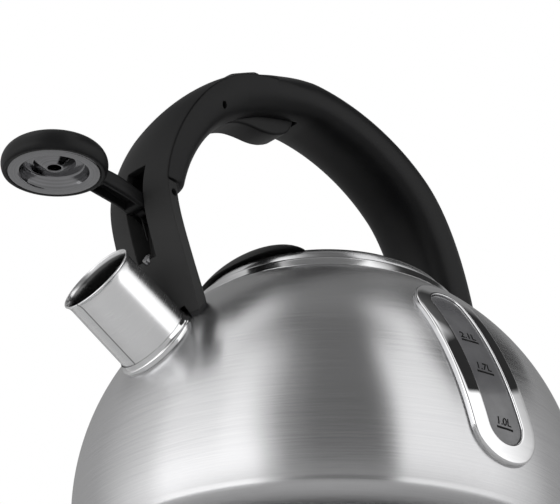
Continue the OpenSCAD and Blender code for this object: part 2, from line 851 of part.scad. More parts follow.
body_shell();
neck_ring();
bottom_plate();
core_disc();
base_cap();
spout_tube();
spout_flare();
gauge_frame();
gauge_glass();
gauge_gasket();
gauge_clamp();
gauge_screws();
gauge_marks();
lid_shell();
lid_cover();
lid_gasket();
lid_screw();
front_strut();
handle_grip();
thumb_pad();
front_pad();
rear_pad();
front_bracket();
rear_bracket();
handle_screws();
trigger();
trigger_pin();
push_rod();
cap_arm();
cap_cover();
whistle_plate();
whistle_disc();
arm_pin();
arm_spring();
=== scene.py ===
"""Looks of a stovetop whistling kettle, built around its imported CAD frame.

Sizes are in millimetres and angles in degrees, unless a line says otherwise.
"""
import json
import logging
import math
from dataclasses import dataclass, field
from enum import Enum
from typing import Iterable, Optional, Sequence

import bmesh
import bpy
from mathutils import Matrix, Vector


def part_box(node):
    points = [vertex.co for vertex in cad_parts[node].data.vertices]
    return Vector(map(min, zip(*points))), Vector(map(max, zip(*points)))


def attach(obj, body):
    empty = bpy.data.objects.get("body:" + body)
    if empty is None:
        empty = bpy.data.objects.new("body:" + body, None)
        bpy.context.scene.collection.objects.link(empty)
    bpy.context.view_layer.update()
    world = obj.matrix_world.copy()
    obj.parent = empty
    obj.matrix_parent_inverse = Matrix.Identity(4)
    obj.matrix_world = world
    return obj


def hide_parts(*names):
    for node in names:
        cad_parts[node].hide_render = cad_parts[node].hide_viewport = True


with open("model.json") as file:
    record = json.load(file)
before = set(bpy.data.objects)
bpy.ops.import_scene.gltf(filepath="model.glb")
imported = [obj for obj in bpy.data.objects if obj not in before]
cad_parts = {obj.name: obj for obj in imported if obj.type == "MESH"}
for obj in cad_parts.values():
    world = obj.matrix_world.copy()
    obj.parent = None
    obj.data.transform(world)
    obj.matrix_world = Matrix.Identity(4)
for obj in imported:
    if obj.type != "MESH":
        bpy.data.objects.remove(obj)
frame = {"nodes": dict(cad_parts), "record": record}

Point = tuple[float, float]
Place = tuple[float, float, float]
Table = Sequence[Point]
Socket = bpy.types.NodeSocket
Piece = bpy.types.Object

MM = 0.001
SEAT = 0.05
CREASE = 38.0
PIN_SEAT = 1.5
PIN_RUN = 1.56
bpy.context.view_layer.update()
log = logging.getLogger("kettle")


# ---- small geometry ---------------------------------------------------------


def polar(angle: float) -> Point:
    """Returns the unit direction at an angle in degrees."""
    return math.cos(math.radians(angle)), math.sin(math.radians(angle))


def spaced(start: float, end: float, steps: int) -> list[float]:
    """Lists evenly spaced values with both ends."""
    return [start + (end - start) * i / steps for i in range(steps + 1)]


def block(low: Point, high: Point) -> list[Point]:
    """Lists the corners of a rectangle."""
    return [low, (high[0], low[1]), high, (low[0], high[1])]


def moved(x: float, y: float, z: float) -> Matrix:
    """Returns the placing at a point."""
    return Matrix.Translation(Vector((x, y, z)) * MM)


def around(middle: Point, radius: float, angles: Iterable[float]) -> list[Point]:
    """Lists the points of a circle at angles in degrees."""
    return [(middle[0] + radius * x, middle[1] + radius * z) for x, z in map(polar, angles)]


def arc(middle: Point, radius: float, start: float, end: float, steps: int) -> list[Point]:
    """Lists the points of an arc.

    Args:
        middle: Centre of the arc.
        radius: Radius of the arc.
        start: First angle in degrees.
        end: Last angle in degrees.
        steps: How many chords the arc has.

    Returns:
        The points from the first angle to the last.
    """
    return around(middle, radius, spaced(start, end, steps))


def between(table: Table, at: float) -> float:
    """Reads a value from a table of rising positions, with eased joins.

    Args:
        table: Pairs of position and value.
        at: Where the value is wanted.

    Returns:
        The value there, held constant beyond both ends.
    """
    if at <= table[0][0]:
        return table[0][1]
    if at >= table[-1][0]:
        return table[-1][1]
    slopes = [(b[1] - a[1]) / (b[0] - a[0]) for a, b in zip(table, table[1:])]

    def knot(i: int) -> float:
        """Slope at a table row: zero at turns, else the harmonic mean."""
        if i in (0, len(table) - 1):
            return slopes[min(i, len(slopes) - 1)]
        a, b = slopes[i - 1], slopes[i]
        return 0.0 if a * b <= 0 else 2 * a * b / (a + b)

    i = max(k for k in range(len(table) - 1) if table[k][0] <= at)
    (x0, y0), (x1, y1) = table[i], table[i + 1]
    span = x1 - x0
    t = (at - x0) / span
    return (
        y0 * (1 + 2 * t) * (1 - t) ** 2
        + span * knot(i) * t * (1 - t) ** 2
        + y1 * t * t * (3 - 2 * t)
        + span * knot(i + 1) * t * t * (t - 1)
    )


def flowing(points: Table, steps: int = 5) -> list[Point]:
    """Runs a smooth curve through points.

    Args:
        points: Points that the curve passes.
        steps: Chords for each span.

    Returns:
        The points of the curve.
    """
    line: list[Point] = []
    last = len(points) - 1
    for i in range(last):
        a, b = points[max(0, i - 1)], points[i]
        c, d = points[i + 1], points[min(last, i + 2)]
        for k in range(steps):
            t = k / steps
            line.append(tuple(
                0.5 * (2 * b[n] + (c[n] - a[n]) * t
                       + (2 * a[n] - 5 * b[n] + 4 * c[n] - d[n]) * t * t
                       + (3 * b[n] - a[n] - 3 * c[n] + d[n]) * t ** 3)
                for n in (0, 1)))
    line.append(points[-1])
    return line


def eased(line: Table, radius: float, steps: int = 4, least: float = 25.0) -> list[Point]:
    """Rounds the corners of a closed line.

    Args:
        line: Corners of the line.
        radius: Wanted radius, cut down where the sides are short.
        steps: Chords for each corner.
        least: Corners that turn less than this many degrees stay.

    Returns:
        The rounded line.
    """
    out: list[Point] = []
    count = len(line)
    for i, corner in enumerate(line):
        p, a, b = Vector(corner), Vector(line[i - 1]), Vector(line[(i + 1) % count])
        u, v = p - a, b - p
        on_axis = abs(p.x) < 1e-6
        if on_axis or u.length < 1e-6 or v.length < 1e-6:
            out.append(corner)
            continue
        turn = u.angle(v)
        if turn < math.radians(least):
            out.append(corner)
            continue
        reach = min(radius * math.tan(turn / 2), 0.45 * u.length, 0.45 * v.length)
        p0, p2 = p - u.normalized() * reach, p + v.normalized() * reach
        for k in range(steps + 1):
            t = k / steps
            q = p0 * (1 - t) ** 2 + p * 2 * t * (1 - t) + p2 * t * t
            out.append((q.x, q.y))
    return out


# ---- mesh making ------------------------------------------------------------


class Workshop:
    """Makes the meshes. All sizes that come in are millimetres."""

    @staticmethod
    def finish_mesh(obj: Piece, crease: float) -> None:
        """Cleans a mesh and shades it smooth apart from its sharp edges."""
        bm = bmesh.new()
        bm.from_mesh(obj.data)
        bmesh.ops.remove_doubles(bm, verts=bm.verts, dist=2e-7)
        bmesh.ops.dissolve_degenerate(bm, dist=1e-7, edges=bm.edges)
        bmesh.ops.recalc_face_normals(bm, faces=bm.faces)
        for face in bm.faces:
            face.smooth = True
        for edge in bm.edges:
            edge.smooth = edge.calc_face_angle(0.0) < math.radians(crease)
        bm.to_mesh(obj.data)
        bm.free()

    @classmethod
    def solid(cls, name: str, points: Sequence[Place], faces: Sequence[Sequence[int]],
              place: Optional[Matrix] = None, crease: float = CREASE) -> Piece:
        """Makes an object from points and faces.

        Args:
            name: Name of the piece.
            points: Corners in millimetres, in the piece's own frame.
            faces: Corner numbers of each face.
            place: Where the piece's frame stands, in metres.
            crease: Edges that turn more than this many degrees stay sharp.

        Returns:
            The new object.
        """
        mesh = bpy.data.meshes.new(name)
        mesh.from_pydata([(x * MM, y * MM, z * MM) for x, y, z in points], [], faces)
        obj = bpy.data.objects.new(name, mesh)
        bpy.context.scene.collection.objects.link(obj)
        if place is not None:
            obj.matrix_world = place
        cls.finish_mesh(obj, crease)
        return obj

    @classmethod
    def turned(cls, name: str, line: Table, place: Optional[Matrix] = None,
               steps: int = 160) -> Piece:
        """Turns a closed line around Z.

        Args:
            name: Name of the piece.
            line: Points of radius and height.
            place: Where the piece's frame stands.
            steps: Facets around the axis.

        Returns:
            The new object.
        """
        points: list[Place] = []
        rings: list[list[int]] = []
        for r, z in line:
            first = len(points)
            if abs(r) < 1e-6:
                points.append((0.0, 0.0, z))
                rings.append([first] * steps)
                continue
            for k in range(steps):
                c, s = polar(360 * k / steps)
                points.append((r * c, r * s, z))
            rings.append(list(range(first, first + steps)))
        faces = []
        for i in range(len(rings)):
            low, high = rings[i], rings[(i + 1) % len(rings)]
            for k in range(steps):
                m = (k + 1) % steps
                corners = list(dict.fromkeys((low[k], low[m], high[m], high[k])))
                if len(corners) > 2:
                    faces.append(corners)
        return cls.solid(name, points, faces, place)

    @classmethod
    def skinned(cls, name: str, rings: Sequence[Sequence[Place]], looped: bool = False,
                place: Optional[Matrix] = None, crease: float = CREASE,
                tip: Optional[int] = None) -> Piece:
        """Joins rings of points to one skin.

        Args:
            name: Name of the piece.
            rings: Rings with equally many points.
            looped: Whether the last ring joins the first, without end faces.
            place: Where the piece's frame stands.
            crease: Sharp edge limit.
            tip: Point of a ring from which its end faces are laid in rungs.

        Returns:
            The new object.
        """
        n, m = len(rings[0]), len(rings)
        points = [p for ring in rings for p in ring]
        faces: list[list[int]] = []
        for j in range(m if looped else m - 1):
            a, b = j * n, ((j + 1) % m) * n
            for i in range(n):
                k = (i + 1) % n
                faces.append([a + i, b + i, b + k, a + k])
        if not looped and tip is None:
            faces.append(list(range(n)))
            faces.append(list(range((m - 1) * n, m * n)))
        if tip is not None:
            for base in (0, (m - 1) * n):
                for k in range(n // 2):
                    rung = [(tip - k) % n, (tip + k) % n, (tip + k + 1) % n, (tip - k - 1) % n]
                    faces.append([base + i for i in dict.fromkeys(rung)])
        return cls.solid(name, points, faces, place, crease)

    @classmethod
    def plate(cls, name: str, outline: Table, width: float, ease: float = 0.0,
              steps: int = 4) -> Piece:
        """Makes a plate across Y from an outline in the X-Z plane.

        Args:
            name: Name of the piece.
            outline: Closed outline.
            width: Thickness along Y.
            ease: Radius of the edges.
            steps: Chords of each rounded edge.

        Returns:
            The new object.
        """
        count = len(outline)
        area = sum(a[0] * b[1] - b[0] * a[1] for a, b in zip(outline[-1:] + outline[:-1], outline))
        inward = []
        for i in range(count):
            p = Vector(outline[i])
            u = (p - Vector(outline[i - 1])).normalized()
            v = (Vector(outline[(i + 1) % count]) - p).normalized()
            a, b = Vector((-u.y, u.x)), Vector((-v.y, v.x))
            n = (a + b) / max(0.4, 1 + a.dot(b))
            inward.append(n if area > 0 else -n)
        half = width / 2
        rows = [(0.0, half)]
        if ease > 0:
            rows = [(ease * (1 - s), half - ease * (1 - c)) for c, s in arc((0, 0), 1, 0, 90, steps)]
        rings = [[(p[0] + n.x * inset, y, p[1] + n.y * inset) for p, n in zip(outline, inward)]
                 for inset, y in rows]
        rings = [[(x, -y, z) for x, y, z in ring] for ring in rings] + rings[::-1]
        return cls.skinned(name, rings)

    @classmethod
    def pin(cls, name: str, at: Point, radius: float, width: float, y: float = 0.0) -> Piece:
        """Makes a round pin along Y."""
        line = eased(block((0, -width / 2), (radius, width / 2)), 0.15)
        return cls.turned(name, line, moved(at[0], y, at[1]) @ Matrix.Rotation(math.pi / 2, 4, "X"), 48)

    @classmethod
    def plug(cls, name: str, radius: float, low: float, high: float, place: Optional[Matrix] = None,
             steps: int = 48) -> Piece:
        """Makes a round plug along Z with sharp ends, mostly to cut with."""
        return cls.turned(name, block((0, low), (radius, high)), place, steps)

    @classmethod
    def rod(cls, name: str, start: Place, end: Place, radius: float) -> Piece:
        """Makes a round rod between two points."""
        way = Vector(end) - Vector(start)
        turn = way.to_track_quat("Z", "Y").to_matrix().to_4x4()
        return cls.plug(name, radius, 0, way.length, moved(*start) @ turn)

    @staticmethod
    def grounded(obj: Piece) -> Piece:
        """Moves a piece's placing into its mesh, so that its own frame is the kettle's."""
        obj.data.transform(obj.matrix_basis)
        obj.matrix_basis = Matrix.Identity(4)
        return obj

    @classmethod
    def cut(cls, obj: Piece, *tools: Piece) -> Piece:
        """Takes the tools' volumes out of an object and deletes the tools."""
        return cls.combine(obj, tools, "DIFFERENCE")

    @classmethod
    def merge(cls, obj: Piece, *others: Piece) -> Piece:
        """Unites other objects with an object and deletes them."""
        return cls.combine(obj, others, "UNION")

    @classmethod
    def combine(cls, obj: Piece, tools: Sequence[Piece], how: str) -> Piece:
        """Runs one boolean for each tool."""
        for tool in tools:
            modifier = obj.modifiers.new("shape", "BOOLEAN")
            modifier.operation, modifier.solver, modifier.object = how, "MANIFOLD", tool
            bpy.context.view_layer.update()
            graph = bpy.context.evaluated_depsgraph_get()
            mesh = bpy.data.meshes.new_from_object(obj.evaluated_get(graph))
            obj.modifiers.clear()
            obj.data = mesh
            cls.finish_mesh(obj, CREASE)
            used = tool.data
            bpy.data.objects.remove(tool)
            bpy.data.meshes.remove(used)
        return obj


# ---- finishes ---------------------------------------------------------------


class Nodes:
    """A node tree being put together."""

    def __init__(self, tree: bpy.types.NodeTree) -> None:
        """Starts with an empty tree."""
        self.tree = tree
        self.tree.nodes.clear()

    def fill(self, node: bpy.types.Node, values: dict) -> None:
        """Gives inputs, by name or number, their constants or links."""
        for key, value in values.items():
            if isinstance(value, Socket):
                self.tree.links.new(value, node.inputs[key])
            else:
                node.inputs[key].default_value = value

    def add(self, kind: str, values: Optional[dict] = None, **settings: object) -> bpy.types.Node:
        """Adds a node.

        Args:
            kind: Node type, without the word that all types start with.
            values: Constants or sockets for its inputs, by name or number.
            **settings: Node properties.

        Returns:
            The node.
        """
        node = self.tree.nodes.new("ShaderNode" + kind)
        for key, value in settings.items():
            setattr(node, key, value)
        self.fill(node, values or {})
        return node

    def math(self, operation: str, *values: object) -> Socket:
        """Returns the result of a sum of numbers."""
        return self.add("Math", dict(enumerate(values)), operation=operation).outputs[0]

    def vector(self, operation: str, values: dict) -> bpy.types.Node:
        """Adds a sum of vectors."""
        return self.add("VectorMath", values, operation=operation)

    def mixed(self, share: Socket, first: object, second: object) -> Socket:
        """Mixes two colours, each a socket or a constant, by a share."""
        values = {"Factor": share}
        for key, side in ((6, first), (7, second)):
            values[key] = side if isinstance(side, Socket) else (*side, 1)
        return self.add("Mix", values, data_type="RGBA").outputs[2]

    def ramp(self, at: Socket, rows: Table) -> Socket:
        """Reads grey values from a table of rising positions."""
        node = self.add("ValToRGB", {0: at})
        stops = node.color_ramp.elements
        while len(stops) > 1:
            stops.remove(stops[-1])
        stops[0].position = rows[0][0]
        for row, (place, value) in enumerate(rows):
            stop = stops.new(place) if row else stops[0]
            stop.color = (value, value, value, 1)
        return node.outputs[0]


class Sketch(Nodes):
    """A surface material being put together."""

    def __init__(self, name: str) -> None:
        """Starts a material with one Principled shader."""
        self.material = bpy.data.materials.new(name)
        self.material.use_nodes = True
        super().__init__(self.material.node_tree)
        self.shader = self.add("BsdfPrincipled")
        self.output = self.add("OutputMaterial", {"Surface": self.shader.outputs[0]})

    def set(self, **values: object) -> None:
        """Sets shader inputs to constants or sockets, with _ for spaces."""
        self.fill(self.shader, {key.replace("_", " "): value for key, value in values.items()})

    def place(self) -> Socket:
        """Returns the piece's own coordinates in metres."""
        return self.add("TexCoord").outputs["Object"]

    def noise(self, at: Socket, scale: float, detail: float = 3.0) -> Socket:
        """Returns a noise value."""
        return self.add("TexNoise", {"Vector": at, "Scale": scale, "Detail": detail}).outputs["Fac"]

    def span(self, value: Socket, low: float, high: float, start: float = 0.3, end: float = 0.7) -> Socket:
        """Maps a value from start..end to low..high."""
        ends = {"Value": value, "From Min": start, "From Max": end, "To Min": low, "To Max": high}
        return self.add("MapRange", ends).outputs["Result"]

    def coat(self, pattern: Socket, dark: Place, light: Place, rough: Point) -> Socket:
        """Lets a pattern set colour and roughness, and returns the colour."""
        colour = self.mixed(self.span(pattern, 0, 1), dark, light)
        self.set(Base_Color=colour, Roughness=self.span(pattern, *rough))
        return colour

    def strokes(self, around: float, along: float) -> Socket:
        """Coordinates that stretch a texture around the piece's Z axis.

        Args:
            around: Texture periods in one radius of arc.
            along: Texture periods in one metre of height.

        Returns:
            The coordinates.
        """
        split = self.add("SeparateXYZ", {0: self.place()})
        flat = self.add("CombineXYZ", {0: split.outputs[0], 1: split.outputs[1]})
        unit = self.vector("NORMALIZE", {0: flat.outputs[0]})
        wide = self.vector("SCALE", {0: unit.outputs[0], "Scale": around})
        lift = self.add("CombineXYZ", {2: self.math("MULTIPLY", split.outputs[2], along)})
        return self.vector("ADD", {0: wide.outputs[0], 1: lift.outputs[0]}).outputs[0]

    def height(self) -> Socket:
        """Returns the height in metres."""
        return self.add("SeparateXYZ", {0: self.place()}).outputs[2]

    def radius(self) -> Socket:
        """Returns the distance from the piece's Z axis in metres."""
        flat = self.vector("MULTIPLY", {0: self.place(), 1: (1.0, 1.0, 0.0)})
        return self.vector("LENGTH", {0: flat.outputs[0]}).outputs["Value"]

    def grooves(self, count: float) -> Socket:
        """Coordinates that lay a texture in rings, so many to a metre of radius."""
        return self.add("CombineXYZ", {0: self.math("MULTIPLY", self.radius(), count)}).outputs[0]

    def relief(self, value: Socket, depth: float, strength: float, normal: Optional[Socket] = None) -> None:
        """Bumps the surface by a value, depth in millimetres."""
        values = {"Strength": strength, "Distance": depth * MM, "Height": value}
        if normal is not None:
            values["Normal"] = normal
        self.set(Normal=self.add("Bump", values).outputs[0])


@dataclass(frozen=True)
class Finish:
    """A surface with two tones and a range of roughness.

    The record is the slot that it belongs to there, where its own name is none.
    """

    name: str
    dark: Place
    light: Place
    rough: Point
    record: str = ""

    def make(self) -> bpy.types.Material:
        """Returns the material."""
        s = Sketch(self.name)
        self.draw(s)
        return s.material

    def draw(self, s: Sketch) -> None:
        """Draws the finish's pattern into a material."""
        raise NotImplementedError

    def coat(self, s: Sketch, pattern: Socket) -> Socket:
        """Coats a material with the tones and returns its colour."""
        return s.coat(pattern, self.dark, self.light, self.rough)


@dataclass(frozen=True)
class BrushedSteel(Finish):
    """Steel with fine strokes around the piece's Z axis."""

    strokes: Point = (3.5, 3600.0)
    broad: Point = (0.35, 0.16)
    stretch: float = 0.85
    depth: float = 0.004
    seam: float = 0.0
    bore: float = 0.0
    seam_tone: Place = (0.3, 0.3, 0.3)
    # Colour of the painted shade inside the tube's bore.
    bore_shade_tone: Place = (0.16, 0.16, 0.16)

    def seamed(self, s: Sketch, colour: Socket) -> Socket:
        """Darkens the weld seam on the tube's underside, and paints shade into the tube's bore.

        Args:
            s: The material being made.
            colour: Colour of the plain steel.

        Returns:
            The darkened colour.
        """
        split = s.add("SeparateXYZ", {0: s.place()})
        side = s.math("ABSOLUTE", split.outputs[1])
        line = s.span(side, 1.0, 0.0, self.seam * 0.4 * MM, self.seam * MM)
        under = s.span(split.outputs[0], 1.0, 0.0, -2 * MM, 0.0)
        # Painted shade: the steel inside the bore is darkened.
        bore = s.span(s.radius(), 1.0, 0.0, self.bore * MM, (self.bore + 0.2) * MM)
        colour = s.mixed(s.math("MULTIPLY", line, under), colour, self.seam_tone)
        return s.mixed(bore, colour, self.bore_shade_tone)

    def draw(self, s: Sketch) -> None:
        """Draws fine strokes over broad ones."""
        around, along = self.strokes
        fine = s.noise(s.strokes(around, along), 1.0, 4.0)
        broad = s.noise(s.strokes(around * self.broad[0], along * self.broad[1]), 1.0)
        colour = self.coat(s, s.math("MULTIPLY_ADD", broad, 0.15, s.math("MULTIPLY", fine, 0.85)))
        if self.seam > 0:
            s.set(Base_Color=self.seamed(s, colour))
        tangent = s.add("Tangent", direction_type="RADIAL", axis="Z").outputs[0]
        s.set(Metallic=1.0, Anisotropic=self.stretch, Anisotropic_Rotation=0.25, Tangent=tangent)
        s.relief(fine, self.depth, 0.3)


@dataclass(frozen=True)
class PolishedSteel(Finish):
    """Mirror-like steel with faint haze, in rings where it was turned."""

    turned: float = 0.0

    def draw(self, s: Sketch) -> None:
        """Draws the haze."""
        haze = s.noise(s.grooves(self.turned) if self.turned else s.strokes(5.0, 320.0), 1.0, 4.0)
        self.coat(s, haze)
        s.set(Metallic=1.0)
        s.relief(haze if self.turned else s.noise(s.place(), 180.0), 0.004, 0.1)


@dataclass(frozen=True)
class Grained(Finish):
    """Plain surface with an even grain: a metal, unless it states a shine."""

    grain: float = 900.0
    detail: float = 3.0
    shine: Optional[float] = None
    depth: float = 0.0
    strength: float = 0.3

    def draw(self, s: Sketch) -> None:
        """Draws the grain."""
        grain = s.noise(s.place(), self.grain, self.detail)
        self.coat(s, grain)
        if self.shine is None:
            s.set(Metallic=1.0)
        else:
            s.set(Specular_IOR_Level=self.shine)
        if self.depth > 0:
            s.relief(grain, self.depth, self.strength)


@dataclass(frozen=True)
class BlackPlastic(Finish):
    """Moulded plastic with a fine soft-touch grain, paler towards a foot with painted light."""

    grain: float = 1900.0
    cloud: float = 45.0
    depth: float = 0.035
    edge: float = 0.8
    shine: float = 0.16
    foot: float = 0.0
    # Heights in metres between which the painted light on the foot fades out.
    foot_light_heights: Point = (0.125, 0.185)

    def draw(self, s: Sketch) -> None:
        """Draws soft clouds of tone and the grain."""
        cloud = s.noise(s.place(), self.cloud)
        colour = self.coat(s, cloud)
        # Painted light: below a set height the colour pales to the foot tone, standing in for light on the
        # lower strut.
        if self.foot > 0:
            s.set(Base_Color=s.mixed(s.span(s.height(), 1, 0, *self.foot_light_heights), colour, (self.foot,) * 3))
        s.set(Specular_IOR_Level=self.shine)
        bevel = s.add("Bevel", {"Radius": self.edge * MM}, samples=4)
        s.relief(s.noise(s.place(), self.grain, 2.0), self.depth, 0.35, bevel.outputs[0])


@dataclass(frozen=True)
class SmokedGlass(Finish):
    """Grey tinted window of the level gauge."""

    def draw(self, s: Sketch) -> None:
        """Draws the tint and a faint ripple."""
        self.coat(s, s.noise(s.place(), 90.0))
        s.set(Transmission_Weight=0.35, IOR=1.5, Coat_Weight=0.4, Coat_Roughness=0.06)
        s.relief(s.noise(s.place(), 700.0), 0.01, 0.15)


POLISH = ((0.74, 0.74, 0.75), (0.80, 0.80, 0.805))
RUBBER = ((0.012, 0.012, 0.013), (0.024, 0.024, 0.026), (0.6, 0.75))
METAL_GRAIN = {"grain": 900.0, "detail": 5.0, "depth": 0.02, "strength": 0.2}
RUBBER_GRAIN = {"grain": 1400.0, "shine": 0.35, "depth": 0.03}


class Slot(Enum):
    """The finishes in use."""

    BRUSHED = BrushedSteel("brushed_steel", (0.54, 0.54, 0.55), (0.62, 0.62, 0.625), (0.2, 0.27))
    # Painted light: a brighter copy of the brushed steel, standing in for the light the spout catches.
    SPOUT = BrushedSteel(
        "spout_steel_painted_light", (0.84, 0.84, 0.85), (0.92, 0.92, 0.925), (0.22, 0.28), "brushed_steel",
        strokes=(1.6, 4200.0), stretch=0.6, seam=0.45, bore=14.6)
    # Painted shade: a darker copy of the polished steel darkens the whistle dish.
    WHISTLE = PolishedSteel(
        "whistle_steel_painted_shade", (0.2, 0.2, 0.205), (0.34, 0.34, 0.35), (0.1, 0.17), "polished_steel", turned=2200.0)
    POLISHED = PolishedSteel("polished_steel", *POLISH, (0.025, 0.05))
    RING = PolishedSteel("ring_steel", *POLISH, (0.11, 0.16), "polished_steel")
    PLAIN = Grained("plain_steel", (0.40, 0.40, 0.41), (0.56, 0.56, 0.57), (0.25, 0.42), **METAL_GRAIN)
    # Painted shade: a near-black copy of the plain steel for fixings that sit in shade inside the handle.
    SHADED = Grained("dark_steel_painted_shade", (0.02,) * 3, (0.05,) * 3, (0.4, 0.55), "plain_steel", **METAL_GRAIN)
    ALUMINIUM = Grained("aluminium", (0.5, 0.5, 0.51), (0.68, 0.68, 0.69), (0.4, 0.55),
                        grain=1200.0, detail=5.0, depth=0.05)
    PLASTIC = BlackPlastic("black_plastic", (0.007, 0.007, 0.0075), (0.012, 0.012, 0.0125), (0.36, 0.44))
    # Painted shade and light: a darker, duller copy of the black plastic for the strut, with painted light on
    # its foot.
    STRUT = BlackPlastic(
        "strut_plastic_painted_light_and_shade", (0.0035, 0.0035, 0.004), (0.006, 0.006, 0.0065), (0.36, 0.44), "black_plastic",
        shine=0.04, foot=0.05)
    PAD = Grained("soft_rubber", *RUBBER, **RUBBER_GRAIN)
    SEAL = Grained("seal", *RUBBER, **RUBBER_GRAIN)
    GLASS = SmokedGlass("gauge_glass", (0.2, 0.2, 0.21), (0.27, 0.27, 0.28), (0.12, 0.2))
    PRINT = Grained("print_black", (0.004,) * 3, (0.012,) * 3, (0.5, 0.7), grain=3000.0, shine=0.1)


class Dresser:
    """Gives pieces their finish and body."""

    def __init__(self) -> None:
        """Starts with no material made."""
        self.made: dict[Slot, bpy.types.Material] = {}

    def paint(self, obj: Piece, slot: Slot) -> None:
        """Gives an object a finish as its one material, made once."""
        if slot not in self.made:
            self.made[slot] = slot.value.make()
        obj.data.materials.clear()
        obj.data.materials.append(self.made[slot])

    def piece(self, obj: Piece, body: str, slot: Slot, *nodes: str) -> None:
        """Finishes a new piece.

        Args:
            obj: The piece.
            body: CAD body that it rides on.
            slot: Its finish.
            *nodes: CAD nodes that it stands for.
        """
        self.paint(obj, slot)
        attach(obj, body)
        if nodes:
            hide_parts(*nodes)
        log.info("%s rides on %s", obj.name, body)

    def nodes(self, slot: Slot, *names: str) -> None:
        """Gives CAD nodes a better material."""
        for name in names:
            self.paint(frame["nodes"][name], slot)
            log.info("%s keeps its CAD shape", name)


# ---- where things stand -----------------------------------------------------


def joint_at(name: str) -> Point:
    """Returns a joint's X and Z in millimetres."""
    for joint in frame["record"]["behaviour"]["joints"]:
        if joint["name"] == name:
            return joint["pos_m"][0] / MM, joint["pos_m"][2] / MM
    raise KeyError(name)


def top_of(node: str) -> float:
    """Returns a CAD node's highest Z in millimetres."""
    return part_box(node)[1].z / MM


# ---- body -------------------------------------------------------------------


@dataclass
class KettleBody:
    """Spherical steel body, its neck ring and its base."""

    radius: float = 102.0
    middle: float = 33.0
    sheet: float = 1.0
    mouth: float = 53.0
    corner: float = -12.0
    base: float = 91.0
    core_inset: float = 5.0
    cap_sheet: float = 0.6
    cap_rise: float = 0.65
    floor: float = field(default_factory=lambda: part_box("body_shell")[0].z / MM)
    ring: float = 57.0
    bead: float = 1.9
    ledge_drop: float = 3.7
    ledge_edge: float = 47.2
    ring_top: float = field(default_factory=lambda: top_of("neck_ring"))

    @property
    def ledge(self) -> float:
        """Height of the ledge that the lid stands on."""
        return self.ring_top - self.ledge_drop

    def dome(self, r: float) -> float:
        """Height of the body sphere at a distance from the axis."""
        return self.middle + math.sqrt(self.radius * self.radius - r * r)

    def wall(self, inset: float) -> list[Point]:
        """Outline of the wall at a distance inside its outer face."""
        size = self.radius - inset
        start = math.degrees(math.acos(self.mouth / size))
        line = arc((0, self.middle), size, start, self.corner, 120)
        edge, height = around((0, self.middle), self.radius, [self.corner])[0]
        drop = height - self.floor - inset
        for c, s in arc((0, 0), 1, 0, 90, 16)[1:]:
            line.append((self.base + (edge - inset - self.base) * c, height - drop * s))
        return line

    def shell(self, spout: "Spout", gauge: "LevelGauge") -> Piece:
        """Builds the wall with the openings for spout and gauge."""
        line = self.wall(0) + self.wall(self.sheet)[::-1]
        body = Workshop.turned("kettle_wall", line, steps=256)
        bore = Workshop.plug("bore", spout.radius - 1, -60, 0, spout.place(), 96)
        window = gauge.prism("window", gauge.width - gauge.seat, 80, 120)
        return Workshop.cut(body, bore, window)

    def neck(self) -> Piece:
        """Builds the polished bead around the lid opening."""
        ledge, mouth, edge = self.ledge, self.mouth, self.ledge_edge
        line = [(self.ring, self.dome(self.ring) + SEAT), (self.ring - 0.2, self.dome(self.ring) + 0.55)]
        line += arc((mouth + 0.6, self.ring_top - self.bead), self.bead, 12, 150, 16)
        line += [(mouth - 1.2, ledge), (edge, ledge)]
        line += [(r, ledge - self.sheet) for r in (edge, mouth - SEAT)]
        line += [(r, self.dome(r) + SEAT) for r in (mouth - SEAT, mouth + 1, mouth + 2, mouth + 3)]
        return Workshop.turned("neck_bead", eased(line, 0.3), steps=256)

    def cap(self) -> Piece:
        """Builds the steel cap under the heat spreader."""
        core, top, thick = self.base - self.core_inset, top_of("base_cap"), self.cap_sheet - SEAT
        line = [(0, 0), (core + 0.2, 0), (core + self.cap_rise, 0.45), (core + self.cap_rise, top),
                (core + SEAT, top), (core + SEAT, thick), (0, thick)]
        return Workshop.turned("base_shell", eased(line, 0.25), steps=256)

    def build(self, dress: Dresser, spout: "Spout", gauge: "LevelGauge") -> None:
        """Builds and finishes the body's pieces."""
        dress.piece(self.shell(spout, gauge), "kettle", Slot.BRUSHED, "body_shell")
        dress.piece(self.neck(), "kettle", Slot.RING, "neck_ring")
        dress.piece(self.cap(), "kettle", Slot.BRUSHED, "base_cap")
        dress.nodes(Slot.BRUSHED, "bottom_plate")
        dress.nodes(Slot.ALUMINIUM, "core_disc")


# ---- spout ------------------------------------------------------------------


